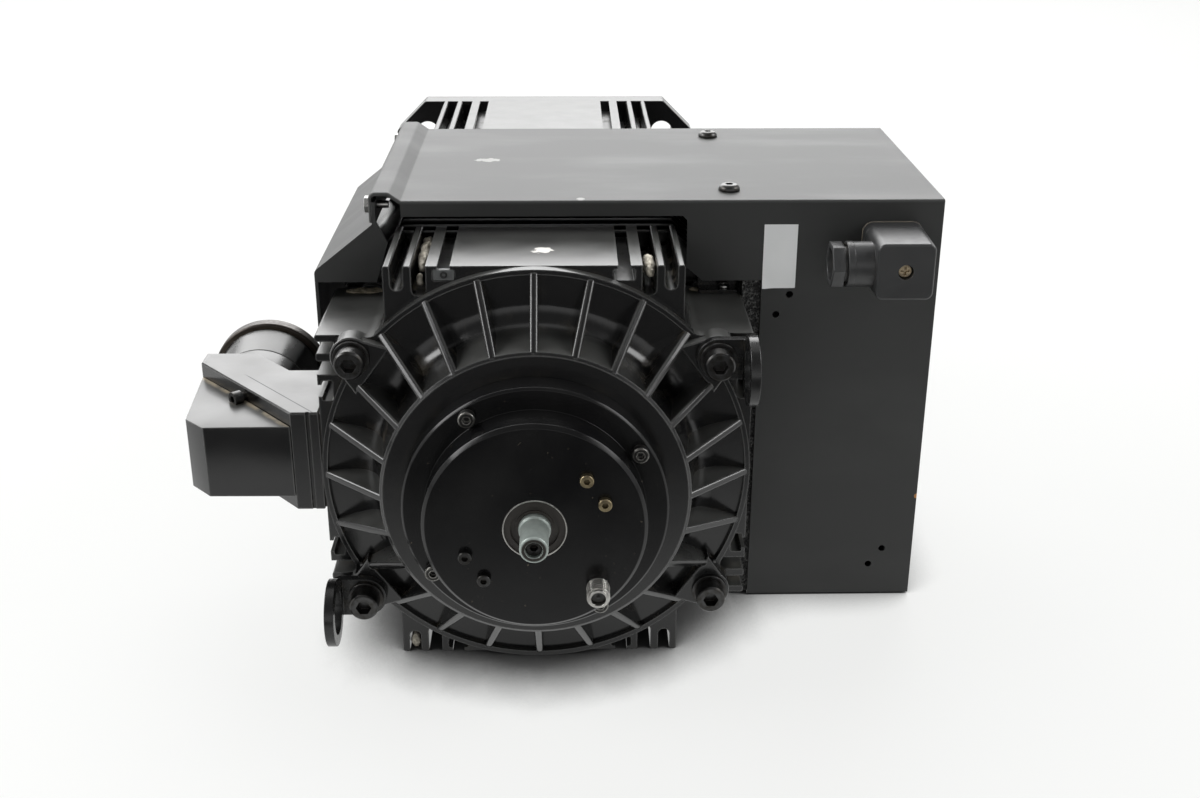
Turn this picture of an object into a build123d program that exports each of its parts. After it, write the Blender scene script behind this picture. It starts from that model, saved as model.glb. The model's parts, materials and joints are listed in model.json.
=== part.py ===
# Flange-mounted induction motor with a forced-air blower box.
# Millimetres, +Z up. The shaft axis is the Y axis, the drive flange's mounting face is y = 0,
# the drive shaft points to +Y and the sensor end of the motor is at -Y.
from build123d import *
import os
from math import atan2, cos, degrees, hypot, radians, sin

os.makedirs("parts", exist_ok=True)

# Overall motor
frame_half = 96.0          # half the square frame
body_length = 364.6        # rear face of the rear casting to the mounting face
rear_casting_length = 64.6
drive_casting_length = 180.0
frame_bore_radius = 80.0
joint_gap = 0.3            # clearance between loose neighbours

# Frame section, measured outwards from the middle of one side
pad_half = 36.0
slot_neck = 5.5
slot_cavity = 9.4
slot_cavity_depth = 5.0
lip_thickness = 1.7
lip_width = 5.0
wide_gap = 6.2
wide_gap_depth = 13.6
inner_fin = 3.7
narrow_gap = 5.4
narrow_gap_depth = 11.0
outer_fin = 3.2
corner_fillet = 8.0
fin_tip_radius = 1.2
fin_end_radius = 5.0

# Drive flange
flange_thickness = 16.0
flange_chamfer = 19.0
flange_bolt_circle = 215.0
flange_hole_radius = 7.0
pilot_radius = 90.0
pilot_height = 5.0
pilot_wall = 14.0

# Drive-end bearing and seal
drive_bearing_bore = 20.0
drive_bearing_outer = 45.0
drive_bearing_width = 23.0
drive_bearing_inset = 13.0
drive_hub_wall = 11.0
drive_seal_outer = 31.0
drive_seal_width = 7.0
drive_seal_inset = 2.0
drive_cap_thickness = 9.0
ball_count = 8

# Rear bearing
rear_bearing_bore = 15.0
rear_bearing_outer = 36.0
rear_bearing_width = 19.0
rear_bearing_inset = 6.0
wave_spring_thickness = 1.6

# Rear end bell, measured from the rear casting's face
bell_rim_radius = 95.9
bell_rim_depth = 5.1
bell_rim_wall = 2.4
bell_floor = 2.6
bell_hub_radius = 67.2
bell_hub_depth = 30.3
bell_face_wall = 8.0
bell_rib_count = 24
bell_rib_thickness = 3.6
bell_spigot = 5.0
ear_radius = 9.3
ear_depth = 10.0
ear_blend = 6.0
bolt_x = 78.9
bolt_z = 58.0

# Rear cover and sensor
cover_ring_radius = 57.2
cover_ring_depth = 12.4
cover_disc_radius = 47.4
cover_disc_depth = 15.7
cover_wall = 7.6
cover_screw_circle = 52.3
cover_screw_angle = 32.0
sensor_circle = 31.0
sensor_angle = 34.6
sensor_screw_pitch = 13.3
connector_circle = 38.0
connector_angle = -46.0
rear_seal_radius = 13.2
rear_seal_width = 6.0

# Shaft
drive_shaft_radius = 19.0
drive_shaft_length = 80.0
rotor_seat_radius = 24.0
shaft_collar_radius = 6.85
stub_radius = 6.0
stub_length = 18.3
stub_bore_radius = 3.6

# Active parts
core_start = 60.0          # from the rear casting's face
core_length = 160.0
stator_bore_radius = 54.5
air_gap = 0.5
stator_slots = 36
slot_depth = 15.0
slot_width = 5.0
rotor_bars = 28
bar_radius = 3.4
winding_overhang = 28.0

# Tie bolts and lifting lugs
tie_bolt_radius = 4.0
tie_bolt_head_radius = 6.5
tie_bolt_head = 8.0
tie_bolt_socket = 6.0
tie_bolt_grip = 20.0
washer_radius = 8.0
washer_thickness = 1.6
lug_thickness = 4.2
lug_ring_radius = 15.2
lug_eye_radius = 10.0
lug_reach = 15.0           # bolt to the outer side of the ring
lug_eye_distance = 17.0    # ear face to the middle of the eye

# Finned sleeve between the castings
sleeve_radius = 86.0
cooling_fin_half = 91.0
cooling_fin_chamfer = 26.0
cooling_fin_thickness = 3.0
cooling_fin_count = 12

# Blower box and duct, from the rear casting's face unless a name says otherwise
sheet = 1.5
duct_start = 49.15
duct_overlap = 14.4        # how far the duct reaches over the drive-end casting
top_height = 111.0         # top of the cover plate
box_right = 187.2
box_floor = -95.0
panel_inner_edge = 104.8
panel_step_height = 72.7
panel_tongue_edge = 67.2
panel_tongue_chamfer = 7.7
lip_height = 7.2
cover_left = -61.5
hook_rise = 4.0
hook_width = 14.6
hook_flange = 14.0
duct_side_offset = 102.7
duct_side_bottom = 30.0
duct_slope_start = 77.7
box_flange = 12.0
foam_width = 13.0
bracket_left = 76.0
bracket_width = 18.0

# Fan in the right wall of the box
fan_size = 120.0
fan_depth = 38.0
fan_hole_pitch = 105.0
fan_height = 8.0
fan_tip_radius = 56.0
fan_duct_radius = 58.0
fan_hub_radius = 29.0
fan_blades = 7
fan_pin_radius = 3.0
guard_wire = 1.1             # half a ring's width

# Power connector on the left side
connector_front = 8.8
connector_half_height = 24.4
connector_gasket = 2.5
receptacle_x = -140.5
receptacle_radius = 24.2
receptacle_length = 59.0
receptacle_rim_radius = 29.4
receptacle_rim_length = 8.0
receptacle_bore_radius = 20.5
pin_circle = 11.0
pin_count = 6

# Blower supply plug on the front panel
plug_x = 163.8
plug_z = 87.2
plug_size = 28.0
plug_depth = 34.0
plug_base_depth = 6.5
plug_gasket = 1.5
gland_radius = 10.2
gland_nut_flats = 18.5
gland_bore_radius = 4.6
gland_reach = 31.8         # plug axis to the nut's mouth

# Places along Y worked out from the sizes above
rear_face = -body_length
bell_face = rear_face - bell_hub_depth
cover_step = bell_face - cover_ring_depth
cover_face = cover_step - cover_disc_depth
duct_front = rear_face + duct_start
drive_casting_start = -drive_casting_length
duct_back = drive_casting_start + duct_overlap
duct_length = duct_back - duct_front
rear_casting_end = rear_face + rear_casting_length
core_front = rear_face + core_start
core_back = core_front + core_length
duct_middle = (duct_front + duct_back) / 2


# Helpers. Every solid is built along the Y axis unless its name says otherwise.
def box(x0, x1, y0, y1, z0, z1):
    size = Box(x1 - x0, y1 - y0, z1 - z0)
    return Pos((x0 + x1) / 2, (y0 + y1) / 2, (z0 + z1) / 2) * size


def rod(radius, y0, y1, x=0.0, z=0.0):
    return Pos(x, (y0 + y1) / 2, z) * Rot(90, 0, 0) * Cylinder(radius, y1 - y0)


def tube(outer, inner, y0, y1, x=0.0, z=0.0):
    return rod(outer, y0, y1, x, z) - rod(inner, y0 - 1, y1 + 1, x, z)


def rod_x(radius, x0, x1, y, z):
    return Pos((x0 + x1) / 2, y, z) * Rot(0, 90, 0) * Cylinder(radius, x1 - x0)


def rod_z(radius, z0, z1, x, y):
    return Pos(x, y, (z0 + z1) / 2) * Cylinder(radius, z1 - z0)


def turned(points):
    # A closed outline of (radius, y) points, turned about the Y axis.
    outline = make_face(Polyline(*points, close=True))
    return revolve(outline, axis=Axis.Y)


def slab(points, y0, y1):
    # A closed outline of (x, z) points with its thickness along Y.
    face = make_face(Polyline(*[(x, y1, z) for x, z in points], close=True))
    return extrude(face, amount=y1 - y0, dir=(0, -1, 0))


def slab_z(points, z0, z1):
    # A closed outline of (x, y) points with its thickness along Z.
    face = make_face(Polyline(*[(x, y, z0) for x, y in points], close=True))
    return extrude(face, amount=z1 - z0, dir=(0, 0, 1))


def slab_x(points, x0, x1):
    # A closed outline of (y, z) points with its thickness along X.
    face = make_face(Polyline(*[(x0, y, z) for y, z in points], close=True))
    return extrude(face, amount=x1 - x0, dir=(1, 0, 0))


def hexagon(flats, y0, y1, x=0.0, z=0.0):
    corner = flats / 2 / cos(radians(30))
    points = [(x + corner * cos(radians(60 * k)), z + corner * sin(radians(60 * k))) for k in range(6)]
    return slab(points, y0, y1)


def polar(radius, angle):
    return radius * cos(radians(angle)), radius * sin(radians(angle))


def save(name, *solids):
    found = [piece for solid in solids for piece in solid.solids()]
    shape = found[0] if len(found) == 1 else Compound(children=found)
    shape.label = name
    export_step(shape, os.path.join("parts", name + ".step"))


def cap_screw(radius, length, head_radius, head, flats, x, z, seat):
    # A socket cap screw whose head stands towards -Y from its seat.
    shank = rod(radius, seat, seat + length, x, z)
    cap = rod(head_radius, seat - head, seat, x, z)
    cap = chamfer(cap.edges().sort_by(Axis.Y)[0], head_radius * 0.12)
    socket = hexagon(flats, seat - head - 1, seat - head * 0.45, x, z)
    return shank + cap - socket


# Frame section
lip_edge = pad_half + slot_neck + lip_width
fin_start = lip_edge + wide_gap
fin_end = fin_start + inner_fin
cheek_start = fin_end + narrow_gap
cheek_half = cheek_start + outer_fin
slot_middle = pad_half + slot_neck / 2


def round_bottom_gap(start, width, depth):
    bottom = frame_half - depth + width / 2
    middle = start + width / 2
    cut = Pos(middle, (bottom + frame_half + 1) / 2) * Rectangle(width, frame_half + 1 - bottom)
    return cut + Pos(middle, bottom) * Circle(width / 2)


def tee_slot():
    cavity_top = frame_half - lip_thickness
    cavity = Rectangle(slot_cavity, slot_cavity_depth)
    cavity = Pos(slot_middle, cavity_top - slot_cavity_depth / 2) * fillet(cavity.vertices(), 1.0)
    neck = Pos(slot_middle, frame_half - lip_thickness / 2) * Rectangle(slot_neck, lip_thickness + 1)
    return cavity + neck


def frame_section():
    cross = Rectangle(2 * frame_half, 2 * cheek_half) + Rectangle(2 * cheek_half, 2 * frame_half)
    inner = [v for v in cross.vertices() if abs(v.X) < frame_half - 1 and abs(v.Y) < frame_half - 1]
    cross = fillet(inner, corner_fillet)
    half = round_bottom_gap(lip_edge, wide_gap, wide_gap_depth)
    half += round_bottom_gap(fin_end, narrow_gap, narrow_gap_depth)
    half += tee_slot()
    side = half + mirror(half, about=Plane.YZ)
    for quarter in range(4):
        cross -= Rot(0, 0, 90 * quarter) * side
    tips = [
        v for v in cross.vertices()
        if max(abs(v.X), abs(v.Y)) > frame_half - 0.01 and min(abs(v.X), abs(v.Y)) > lip_edge + 0.5
    ]
    return fillet(tips, fin_tip_radius)


def frame_length(y0, y1):
    section = frame_section()
    placed = Pos(0, y1, 0) * Rot(90, 0, 0) * section
    return extrude(placed, amount=y1 - y0, dir=(0, -1, 0))


def tie_bolt_places():
    return [(sx * bolt_x, sz * bolt_z) for sx in (-1, 1) for sz in (-1, 1)]


def rounded_ends(y0, y1, start_radius, end_radius):
    # The solid that rounds every fin's end, seen from the side and from above.
    face = Pos((y0 + y1) / 2, 0) * Rectangle(y1 - y0, 2 * frame_half)
    if start_radius > 0:
        face = fillet(face.vertices().group_by(Axis.X)[0], start_radius)
    if end_radius > 0:
        face = fillet(face.vertices().group_by(Axis.X)[-1], end_radius)
    seen_from_side = extrude(Plane.YZ * face, amount=frame_half + 1, both=True)
    seen_from_above = extrude(Rot(0, 0, 90) * face, amount=frame_half + 1, both=True)
    return seen_from_side & seen_from_above


def rear_casting():
    solid = frame_length(rear_face, rear_casting_end)
    solid &= rounded_ends(rear_face, rear_casting_end, 0, fin_end_radius)
    solid -= rod(frame_bore_radius, rear_face - 1, rear_casting_end + 1)
    for x, z in tie_bolt_places():
        solid -= rod(tie_bolt_radius + joint_gap, rear_face - 1, rear_casting_end + 1, x, z)
    return drilled_up([solid], bracket_screw_places()[:1], 1.5, cheek_half - outer_fin - 1, cheek_half + 1)[0]


# Drive casting with its flange, pilot and bearing hub
drive_bearing_front = -drive_bearing_inset
drive_bearing_back = drive_bearing_front - drive_bearing_width
drive_seal_front = -drive_seal_inset
drive_seal_back = drive_seal_front - drive_seal_width
hub_radius = drive_bearing_outer + drive_hub_wall


def drive_end_casting():
    flange_back = -flange_thickness
    solid = frame_length(drive_casting_start, flange_back)
    solid &= rounded_ends(drive_casting_start, flange_back, fin_end_radius, 0)
    plate = Rectangle(2 * frame_half, 2 * frame_half)
    plate = chamfer(plate.vertices(), flange_chamfer)
    plate = fillet(plate.vertices(), 3.0)
    solid += extrude(Rot(90, 0, 0) * plate, amount=flange_thickness, dir=(0, -1, 0))
    solid -= rod(frame_bore_radius, drive_casting_start - 1, flange_back)
    solid += rod(hub_radius, drive_bearing_back, flange_back)
    solid += tube(pilot_radius, pilot_radius - pilot_wall, -1, pilot_height)
    solid -= rod(drive_bearing_outer, drive_bearing_back - 1, drive_bearing_front)
    solid -= rod(drive_bearing_bore + 5, drive_bearing_front - 1, drive_seal_back + 1)
    solid -= rod(drive_seal_outer, drive_seal_back, 1)
    for quarter in range(4):
        x, z = polar(flange_bolt_circle / 2, 45 + 90 * quarter)
        solid -= rod(flange_hole_radius, flange_back - 40, 1, x, z)
    for x, z in tie_bolt_places():
        depth = drive_casting_start + tie_bolt_grip + 3
        solid -= rod(tie_bolt_radius + 0.05, drive_casting_start - 1, depth, x, z)
    for x, z in cap_screw_places():
        solid -= rod(2.55, drive_bearing_back - 1, drive_bearing_back + 14, x, z)
    rim = [e for e in solid.edges().filter_by(GeomType.CIRCLE)
           if abs(e.center().Y - pilot_height) < 0.01 and abs(e.radius - pilot_radius) < 0.01]
    solid = chamfer(rim, 0.8)
    return drilled_up([solid], bracket_screw_places()[1:], 1.5, cheek_half - outer_fin - 1, cheek_half + 1)[0]


def cap_screw_places():
    return [polar(drive_bearing_outer + 5.5, 30 + 120 * k) for k in range(3)]


def inner_bearing_cap():
    back = drive_bearing_back - drive_cap_thickness
    solid = tube(hub_radius, rotor_seat_radius + 1.5, back, drive_bearing_back)
    solid -= tube(drive_bearing_outer - 4, rotor_seat_radius, drive_bearing_back - 4, drive_bearing_back + 1)
    for x, z in cap_screw_places():
        solid -= rod(2.75, back - 1, drive_bearing_back + 1, x, z)
    return solid


def inner_cap_screws():
    seat = drive_bearing_back - drive_cap_thickness
    grip = drive_cap_thickness + 12
    return [cap_screw(2.5, grip, 4.3, 5.0, 4.0, x, z, seat) for x, z in cap_screw_places()]


def stator_frame():
    start = rear_casting_end
    end = drive_casting_start
    solid = tube(sleeve_radius, frame_bore_radius, start, end)
    fin = Rectangle(2 * cooling_fin_half, 2 * cooling_fin_half)
    fin = chamfer(fin.vertices(), cooling_fin_chamfer)
    pitch = (end - start) / cooling_fin_count
    for k in range(cooling_fin_count):
        middle = start + pitch * (k + 0.5)
        placed = Pos(0, middle + cooling_fin_thickness / 2, 0) * Rot(90, 0, 0) * fin
        plate = extrude(placed, amount=cooling_fin_thickness, dir=(0, -1, 0))
        solid += plate - rod(sleeve_radius - 1, start, end)
    for x, z in tie_bolt_places():
        solid += rod(tie_bolt_radius + 4, start, end, x, z) - rod(frame_bore_radius + 1, start, end)
        solid -= rod(tie_bolt_radius + joint_gap, start - 1, end + 1, x, z)
    return solid


# Rear end bell
def bell_rib():
    inner = bell_hub_radius - 1.5
    outer = bell_rim_radius - 0.9
    points = [
        (inner, rear_face - bell_floor + 0.6),
        (outer, rear_face - bell_floor + 0.6),
        (outer, rear_face - bell_rim_depth + 0.5),
        (bell_hub_radius, bell_face + 0.6),
        (inner, bell_face + 0.6),
    ]
    half = bell_rib_thickness / 2
    face = make_face(Polyline(*[(r, y, -half) for r, y in points], close=True))
    solid = extrude(face, amount=bell_rib_thickness, dir=(0, 0, 1))
    slanted = [e for e in solid.edges() if e.length > 20 and abs(e.tangent_at(0.5).Y) > 0.3
               and abs(e.tangent_at(0.5).X) > 0.3]
    return fillet(slanted, bell_rib_thickness * 0.36)


def bell_body():
    floor = rear_face - bell_floor
    rim_face = rear_face - bell_rim_depth
    rim_inner = bell_rim_radius - bell_rim_wall
    hub_inner = rear_bearing_outer + 9
    seat_back = rear_face - rear_bearing_inset
    with BuildSketch(Plane.XY) as section:
        with BuildLine():
            rim_mid = (rim_inner + bell_rim_radius) / 2
            Polyline(
                (frame_bore_radius, rear_face),
                (bell_rim_radius, rear_face),
                (bell_rim_radius, rim_face + 1.0),
            )
            ThreePointArc((bell_rim_radius, rim_face + 1.0), (rim_mid, rim_face), (rim_inner, rim_face + 1.0))
            Polyline((rim_inner, rim_face + 1.0), (rim_inner, floor), (bell_hub_radius + 13, floor))
            ThreePointArc(
                (bell_hub_radius + 13, floor),
                (bell_hub_radius + 5.6, floor - 3.6),
                (bell_hub_radius + 2.6, floor - 10),
            )
            Polyline(
                (bell_hub_radius + 2.6, floor - 10),
                (bell_hub_radius + 0.6, bell_face + 1.2),
                (bell_hub_radius - 0.8, bell_face),
                (rear_bearing_outer, bell_face),
                (rear_bearing_outer, seat_back),
                (rear_bearing_outer - 5, seat_back),
                (rear_bearing_outer - 5, rear_face),
                (hub_inner, rear_face),
                (hub_inner, bell_face + bell_face_wall),
                (bell_hub_radius - 6, bell_face + bell_face_wall),
                (frame_bore_radius - 6, rear_face),
                (frame_bore_radius - 6, rear_face + bell_spigot),
                (frame_bore_radius - 0.05, rear_face + bell_spigot),
                (frame_bore_radius - 0.05, rear_face),
                (frame_bore_radius, rear_face),
            )
        make_face()
    return revolve(section.sketch, axis=Axis.Y)


def bell_rim_with_ears():
    # The rim's outline swells out around the four tie bolts.
    outline = Circle(bell_rim_radius)
    for x, z in tie_bolt_places():
        outline += Pos(x, z) * Circle(ear_radius - 0.2)
    outline = fillet(outline.vertices(), ear_blend)
    outline -= Circle(bell_rim_radius - bell_rim_wall)
    return extrude(Pos(0, rear_face, 0) * Rot(90, 0, 0) * outline, amount=bell_rim_depth)


def bell_ear(x, z):
    # A round boss whose inner side widens and ends on a chord across the pocket.
    distance = hypot(x, z)
    chord = distance - 11.0
    foot = Polygon((distance, ear_radius), (chord, ear_radius + 4), (chord, -ear_radius - 4),
                   (distance, -ear_radius), align=None)
    outline = Pos(distance, 0) * Circle(ear_radius) + foot
    placed = Pos(0, rear_face, 0) * Rot(90, 0, 0) * Rot(0, 0, degrees(atan2(z, x))) * outline
    ear = extrude(placed, amount=ear_depth)
    return fillet(ear.edges().group_by(Axis.Y)[0], 0.8)


def rear_end_bell():
    solid = bell_body() + bell_rim_with_ears()
    rib = bell_rib()
    for k in range(bell_rib_count):
        solid += Rot(0, 360 / bell_rib_count * k, 0) * rib
    for x, z in tie_bolt_places():
        solid += bell_ear(x, z)
    for x, z in tie_bolt_places():
        solid -= rod(tie_bolt_radius + joint_gap, rear_face - ear_depth - 1, rear_face + 1, x, z)
    for x, z in cover_screw_places():
        solid -= rod(2.05, bell_face - 1, bell_face + 6.5, x, z)
    return solid


# Rear cover with its screws, sensors and connector
def cover_screw_places():
    return [polar(cover_screw_circle, cover_screw_angle + 90 * k) for k in range(4)]


def sensor_screw_places(side):
    # Two screws per sensor, placed square to the sensor's own radius.
    x, z = polar(sensor_circle, sensor_angle + 180 * side)
    dx, dz = polar(sensor_screw_pitch / 2, sensor_angle + 90)
    return [(x + dx, z + dz), (x - dx, z - dz)]


def connector_place():
    return polar(connector_circle, connector_angle)


cover_pocket_radius = cover_disc_radius - 3.5
cover_pocket_end = cover_face + cover_wall
spigot_radius = rear_bearing_outer
spigot_end = rear_face - rear_bearing_inset - rear_bearing_width - wave_spring_thickness


def rear_cover():
    solid = turned([
        (0, cover_face),
        (cover_disc_radius - 1.6, cover_face),
        (cover_disc_radius, cover_face + 1.6),
        (cover_disc_radius, cover_step),
        (cover_ring_radius - 1.0, cover_step),
        (cover_ring_radius, cover_step + 1.0),
        (cover_ring_radius, bell_face),
        (spigot_radius - 0.05, bell_face),
        (spigot_radius - 0.05, spigot_end),
        (spigot_radius - 4.0, spigot_end),
        (spigot_radius - 4.0, bell_face - 2.0),
        (cover_pocket_radius, bell_face - 2.0),
        (cover_pocket_radius, cover_pocket_end),
        (0, cover_pocket_end),
    ])
    solid -= rod(rear_seal_radius, cover_face - 1, cover_face + rear_seal_width)
    solid -= rod(shaft_collar_radius + 3, cover_face - 1, cover_pocket_end + 1)
    for x, z in cover_screw_places():
        solid -= rod(2.2, cover_step - 1, bell_face + 1, x, z)
    for side in (0, 1):
        for x, z in sensor_screw_places(side):
            solid -= rod(1.65, cover_face - 1, cover_pocket_end + 1, x, z)
    x, z = connector_place()
    solid -= rod(3.6, cover_face - 1, cover_pocket_end + 1, x, z)
    return solid


def cover_screws():
    return [cap_screw(2.0, cover_ring_depth + 6, 3.6, 4.0, 3.0, x, z, cover_step)
            for x, z in cover_screw_places()]


def sensor_screws(side):
    return [cap_screw(1.5, cover_wall + 4, 2.9, 3.0, 2.5, x, z, cover_face)
            for x, z in sensor_screw_places(side)]


sensor_wheel_radius = sensor_circle - 5.5
sensor_wheel_width = 5.0
sensor_wheel_end = bell_face - 3.0


def sensor_heads():
    heads = []
    for side in (0, 1):
        block = box(sensor_circle - 4.6, sensor_circle + 6, cover_pocket_end, sensor_wheel_end, -9, 9)
        block = fillet(block.edges().filter_by(Axis.Y), 1.5)
        block = Rot(0, -(sensor_angle + 180 * side), 0) * block
        for x, z in sensor_screw_places(side):
            block -= rod(1.55, cover_pocket_end - 1, cover_pocket_end + 6, x, z)
        heads.append(block)
    return heads


def sensor_wheel():
    start = sensor_wheel_end - sensor_wheel_width
    solid = tube(sensor_wheel_radius, 9.0, start, sensor_wheel_end)
    teeth = 32
    for k in range(teeth):
        x, z = polar(sensor_wheel_radius, 360 / teeth * k)
        solid -= rod(1.2, start - 1, sensor_wheel_end + 1, x, z)
    return solid


def sensor_connector():
    x, z = connector_place()
    tip = cover_face - 11.0
    solid = rod(5.0, cover_face - 2.2, cover_face, x, z)
    solid += rod(4.5, tip + 1.2, cover_face - 2.2, x, z)
    for k in range(5):
        ridge = tip + 1.2 + 1.5 * k
        solid += rod(4.9, ridge, ridge + 0.8, x, z)
    solid += rod(4.2, tip, tip + 1.2, x, z)
    solid += rod(3.5, cover_face, cover_pocket_end + 1.5, x, z)
    solid += hexagon(9.0, cover_pocket_end, cover_pocket_end + 1.5, x, z)
    return solid - rod(3.1, tip - 1, cover_face - 1.5, x, z)


def sensor_connector_insert():
    x, z = connector_place()
    tip = cover_face - 11.0
    solid = tube(3.1, 0.6, tip + 2.4, cover_face - 1.5, x, z)
    return solid + rod(0.6, tip + 1.2, cover_face - 1.5, x, z)


def rear_shaft_seal():
    inner = shaft_collar_radius + 0.1
    solid = tube(rear_seal_radius, inner + 3.4, cover_face + 0.5, cover_face + rear_seal_width)
    lip = tube(inner + 3.4, inner + 1.2, cover_face + 1.6, cover_face + 3.0)
    return solid + lip + tube(inner + 1.2, inner, cover_face + 1.2, cover_face + 4.2)


def drive_shaft_seal():
    inner = drive_bearing_bore + 0.1
    solid = tube(drive_seal_outer, inner + 5.5, drive_seal_back, drive_seal_front)
    solid += tube(inner + 5.5, inner + 1.4, drive_seal_front - 2.4, drive_seal_front)
    return solid + tube(inner + 1.4, inner, drive_seal_front - 5.2, drive_seal_front)


# Shaft and what is pressed onto it
stub_end = cover_face - stub_length
rear_bearing_front = rear_face - rear_bearing_inset - rear_bearing_width
rear_bearing_back = rear_face - rear_bearing_inset


def motor_shaft():
    cage_space = winding_overhang + 6
    solid = turned([
        (0, stub_end),
        (stub_radius - 0.6, stub_end),
        (stub_radius, stub_end + 0.6),
        (stub_radius, cover_face - 2.0),
        (shaft_collar_radius, cover_face - 1.2),
        (shaft_collar_radius, cover_pocket_end + 3),
        (9.0, cover_pocket_end + 3),
        (9.0, sensor_wheel_end),
        (12.0, sensor_wheel_end),
        (12.0, rear_bearing_front - 2),
        (rear_bearing_bore, rear_bearing_front - 2),
        (rear_bearing_bore, rear_bearing_back),
        (18.5, rear_bearing_back),
        (18.5, core_front - cage_space),
        (rotor_seat_radius, core_front - cage_space),
        (rotor_seat_radius, drive_bearing_back),
        (drive_bearing_bore, drive_bearing_back),
        (drive_bearing_bore, 0),
        (drive_shaft_radius, 0),
        (drive_shaft_radius, drive_shaft_length - 1.5),
        (drive_shaft_radius - 1.5, drive_shaft_length),
        (0, drive_shaft_length),
    ])
    solid -= rod(stub_bore_radius, stub_end - 1, stub_end + 14)
    solid -= rod(5.1, drive_shaft_length - 28, drive_shaft_length + 1)
    return solid


def stub_end_screw():
    start = stub_end + 2.2
    solid = rod(stub_bore_radius, start, stub_end + 12)
    return solid - hexagon(3.0, start - 1, start + 3)


def drilled(solid, places, radius, y0, y1):
    for x, z in places:
        solid -= rod(radius, y0, y1, x, z)
    return solid


rotor_radius = stator_bore_radius - air_gap
bar_circle = rotor_radius - bar_radius - 2.0
bar_places = [polar(bar_circle, 360 / rotor_bars * k) for k in range(rotor_bars)]


def rotor_core():
    solid = tube(rotor_radius, rotor_seat_radius, core_front, core_back)
    return drilled(solid, bar_places, bar_radius + 0.1, core_front - 1, core_back + 1)


def rotor_cage():
    ring_width = 12.0
    solid = tube(rotor_radius - 0.8, bar_circle - 10, core_front - ring_width, core_front)
    solid += tube(rotor_radius - 0.8, bar_circle - 10, core_back, core_back + ring_width)
    for x, z in bar_places:
        solid += rod(bar_radius, core_front - 1, core_back + 1, x, z)
    return solid


def stator_core():
    solid = tube(frame_bore_radius, stator_bore_radius, core_front, core_back)
    opening = box(
        stator_bore_radius - 1, stator_bore_radius + 4, core_front - 1, core_back + 1, -1.2, 1.2)
    slot = box(
        stator_bore_radius + 3, stator_bore_radius + 3 + slot_depth, core_front - 1, core_back + 1,
        -slot_width / 2, slot_width / 2)
    cut = opening + slot
    for k in range(stator_slots):
        solid -= Rot(0, 360 / stator_slots * k, 0) * cut
    return solid


def stator_windings():
    inner = stator_bore_radius + 3.4
    outer = inner + slot_depth - 0.8
    ends = []
    for start, end in ((core_front - winding_overhang, core_front - 1.5),
                       (core_back + 1.5, core_back + winding_overhang)):
        ring = tube(outer + 1.5, inner - 0.6, start, end)
        ends.append(fillet(ring.edges(), 4.0))
    solid = ends[0] + ends[1]
    coil = box(
        inner, outer, core_front - 3, core_back + 3, -slot_width / 2 + 0.3, slot_width / 2 - 0.3)
    for k in range(stator_slots):
        solid += Rot(0, 360 / stator_slots * k, 0) * coil
    return solid


# Ball bearings
class Bearing:
    def __init__(self, bore, outer, width, front):
        self.front = front
        self.width = width
        self.bore = bore
        self.outer = outer
        self.pitch = (bore + outer) / 2
        self.ball = (outer - bore) * 0.302
        self.middle = front + width / 2
        self.groove = self.ball + 0.08
        self.land = self.ball * 0.42

    def race_groove(self):
        arc = Pos(self.pitch, self.middle) * Circle(self.groove)
        return revolve(arc, axis=Axis.Y)

    def outer_ring(self):
        ring = tube(self.outer, self.pitch + self.land, self.front, self.front + self.width)
        return ring - self.race_groove()

    def inner_ring(self):
        ring = tube(self.pitch - self.land, self.bore, self.front, self.front + self.width)
        return ring - self.race_groove()

    def ball_places(self):
        return [polar(self.pitch, 360 / ball_count * k) for k in range(ball_count)]

    def cage_and_balls(self):
        half = self.ball + 1.5
        cage = tube(self.pitch + 1.3, self.pitch - 1.3, self.middle - half, self.middle + half)
        balls = []
        pocket = rod_x(self.ball + 0.15, self.pitch - 3, self.pitch + 3, self.middle, 0)
        for k in range(ball_count):
            cage -= Rot(0, 360 / ball_count * k, 0) * pocket
        for x, z in self.ball_places():
            balls.append(Pos(x, self.middle, z) * Sphere(self.ball))
        return [cage, *balls]


drive_bearing = Bearing(drive_bearing_bore, drive_bearing_outer, drive_bearing_width, drive_bearing_back)
rear_bearing = Bearing(rear_bearing_bore, rear_bearing_outer, rear_bearing_width, rear_bearing_front)


def wave_spring():
    start = rear_bearing_front - wave_spring_thickness
    solid = tube(rear_bearing_outer - 0.6, rear_bearing_outer - 3.6, start, rear_bearing_front)
    return solid


# Tie bolts, washers and lifting lugs
def lugged(x, z):
    return x * z > 0


def bolt_seat(x, z):
    depth = ear_depth + washer_thickness
    if lugged(x, z):
        depth += lug_thickness
    return rear_face - depth


def tie_bolts():
    end = drive_casting_start + tie_bolt_grip
    bolts = []
    for x, z in tie_bolt_places():
        seat = bolt_seat(x, z)
        bolts.append(cap_screw(
            tie_bolt_radius, end - seat, tie_bolt_head_radius, tie_bolt_head, tie_bolt_socket, x, z, seat))
    return bolts


def tie_bolt_washers():
    rings = []
    for x, z in tie_bolt_places():
        seat = bolt_seat(x, z)
        rings.append(tube(washer_radius, tie_bolt_radius + 0.2, seat, seat + washer_thickness, x, z))
    return rings


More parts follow.
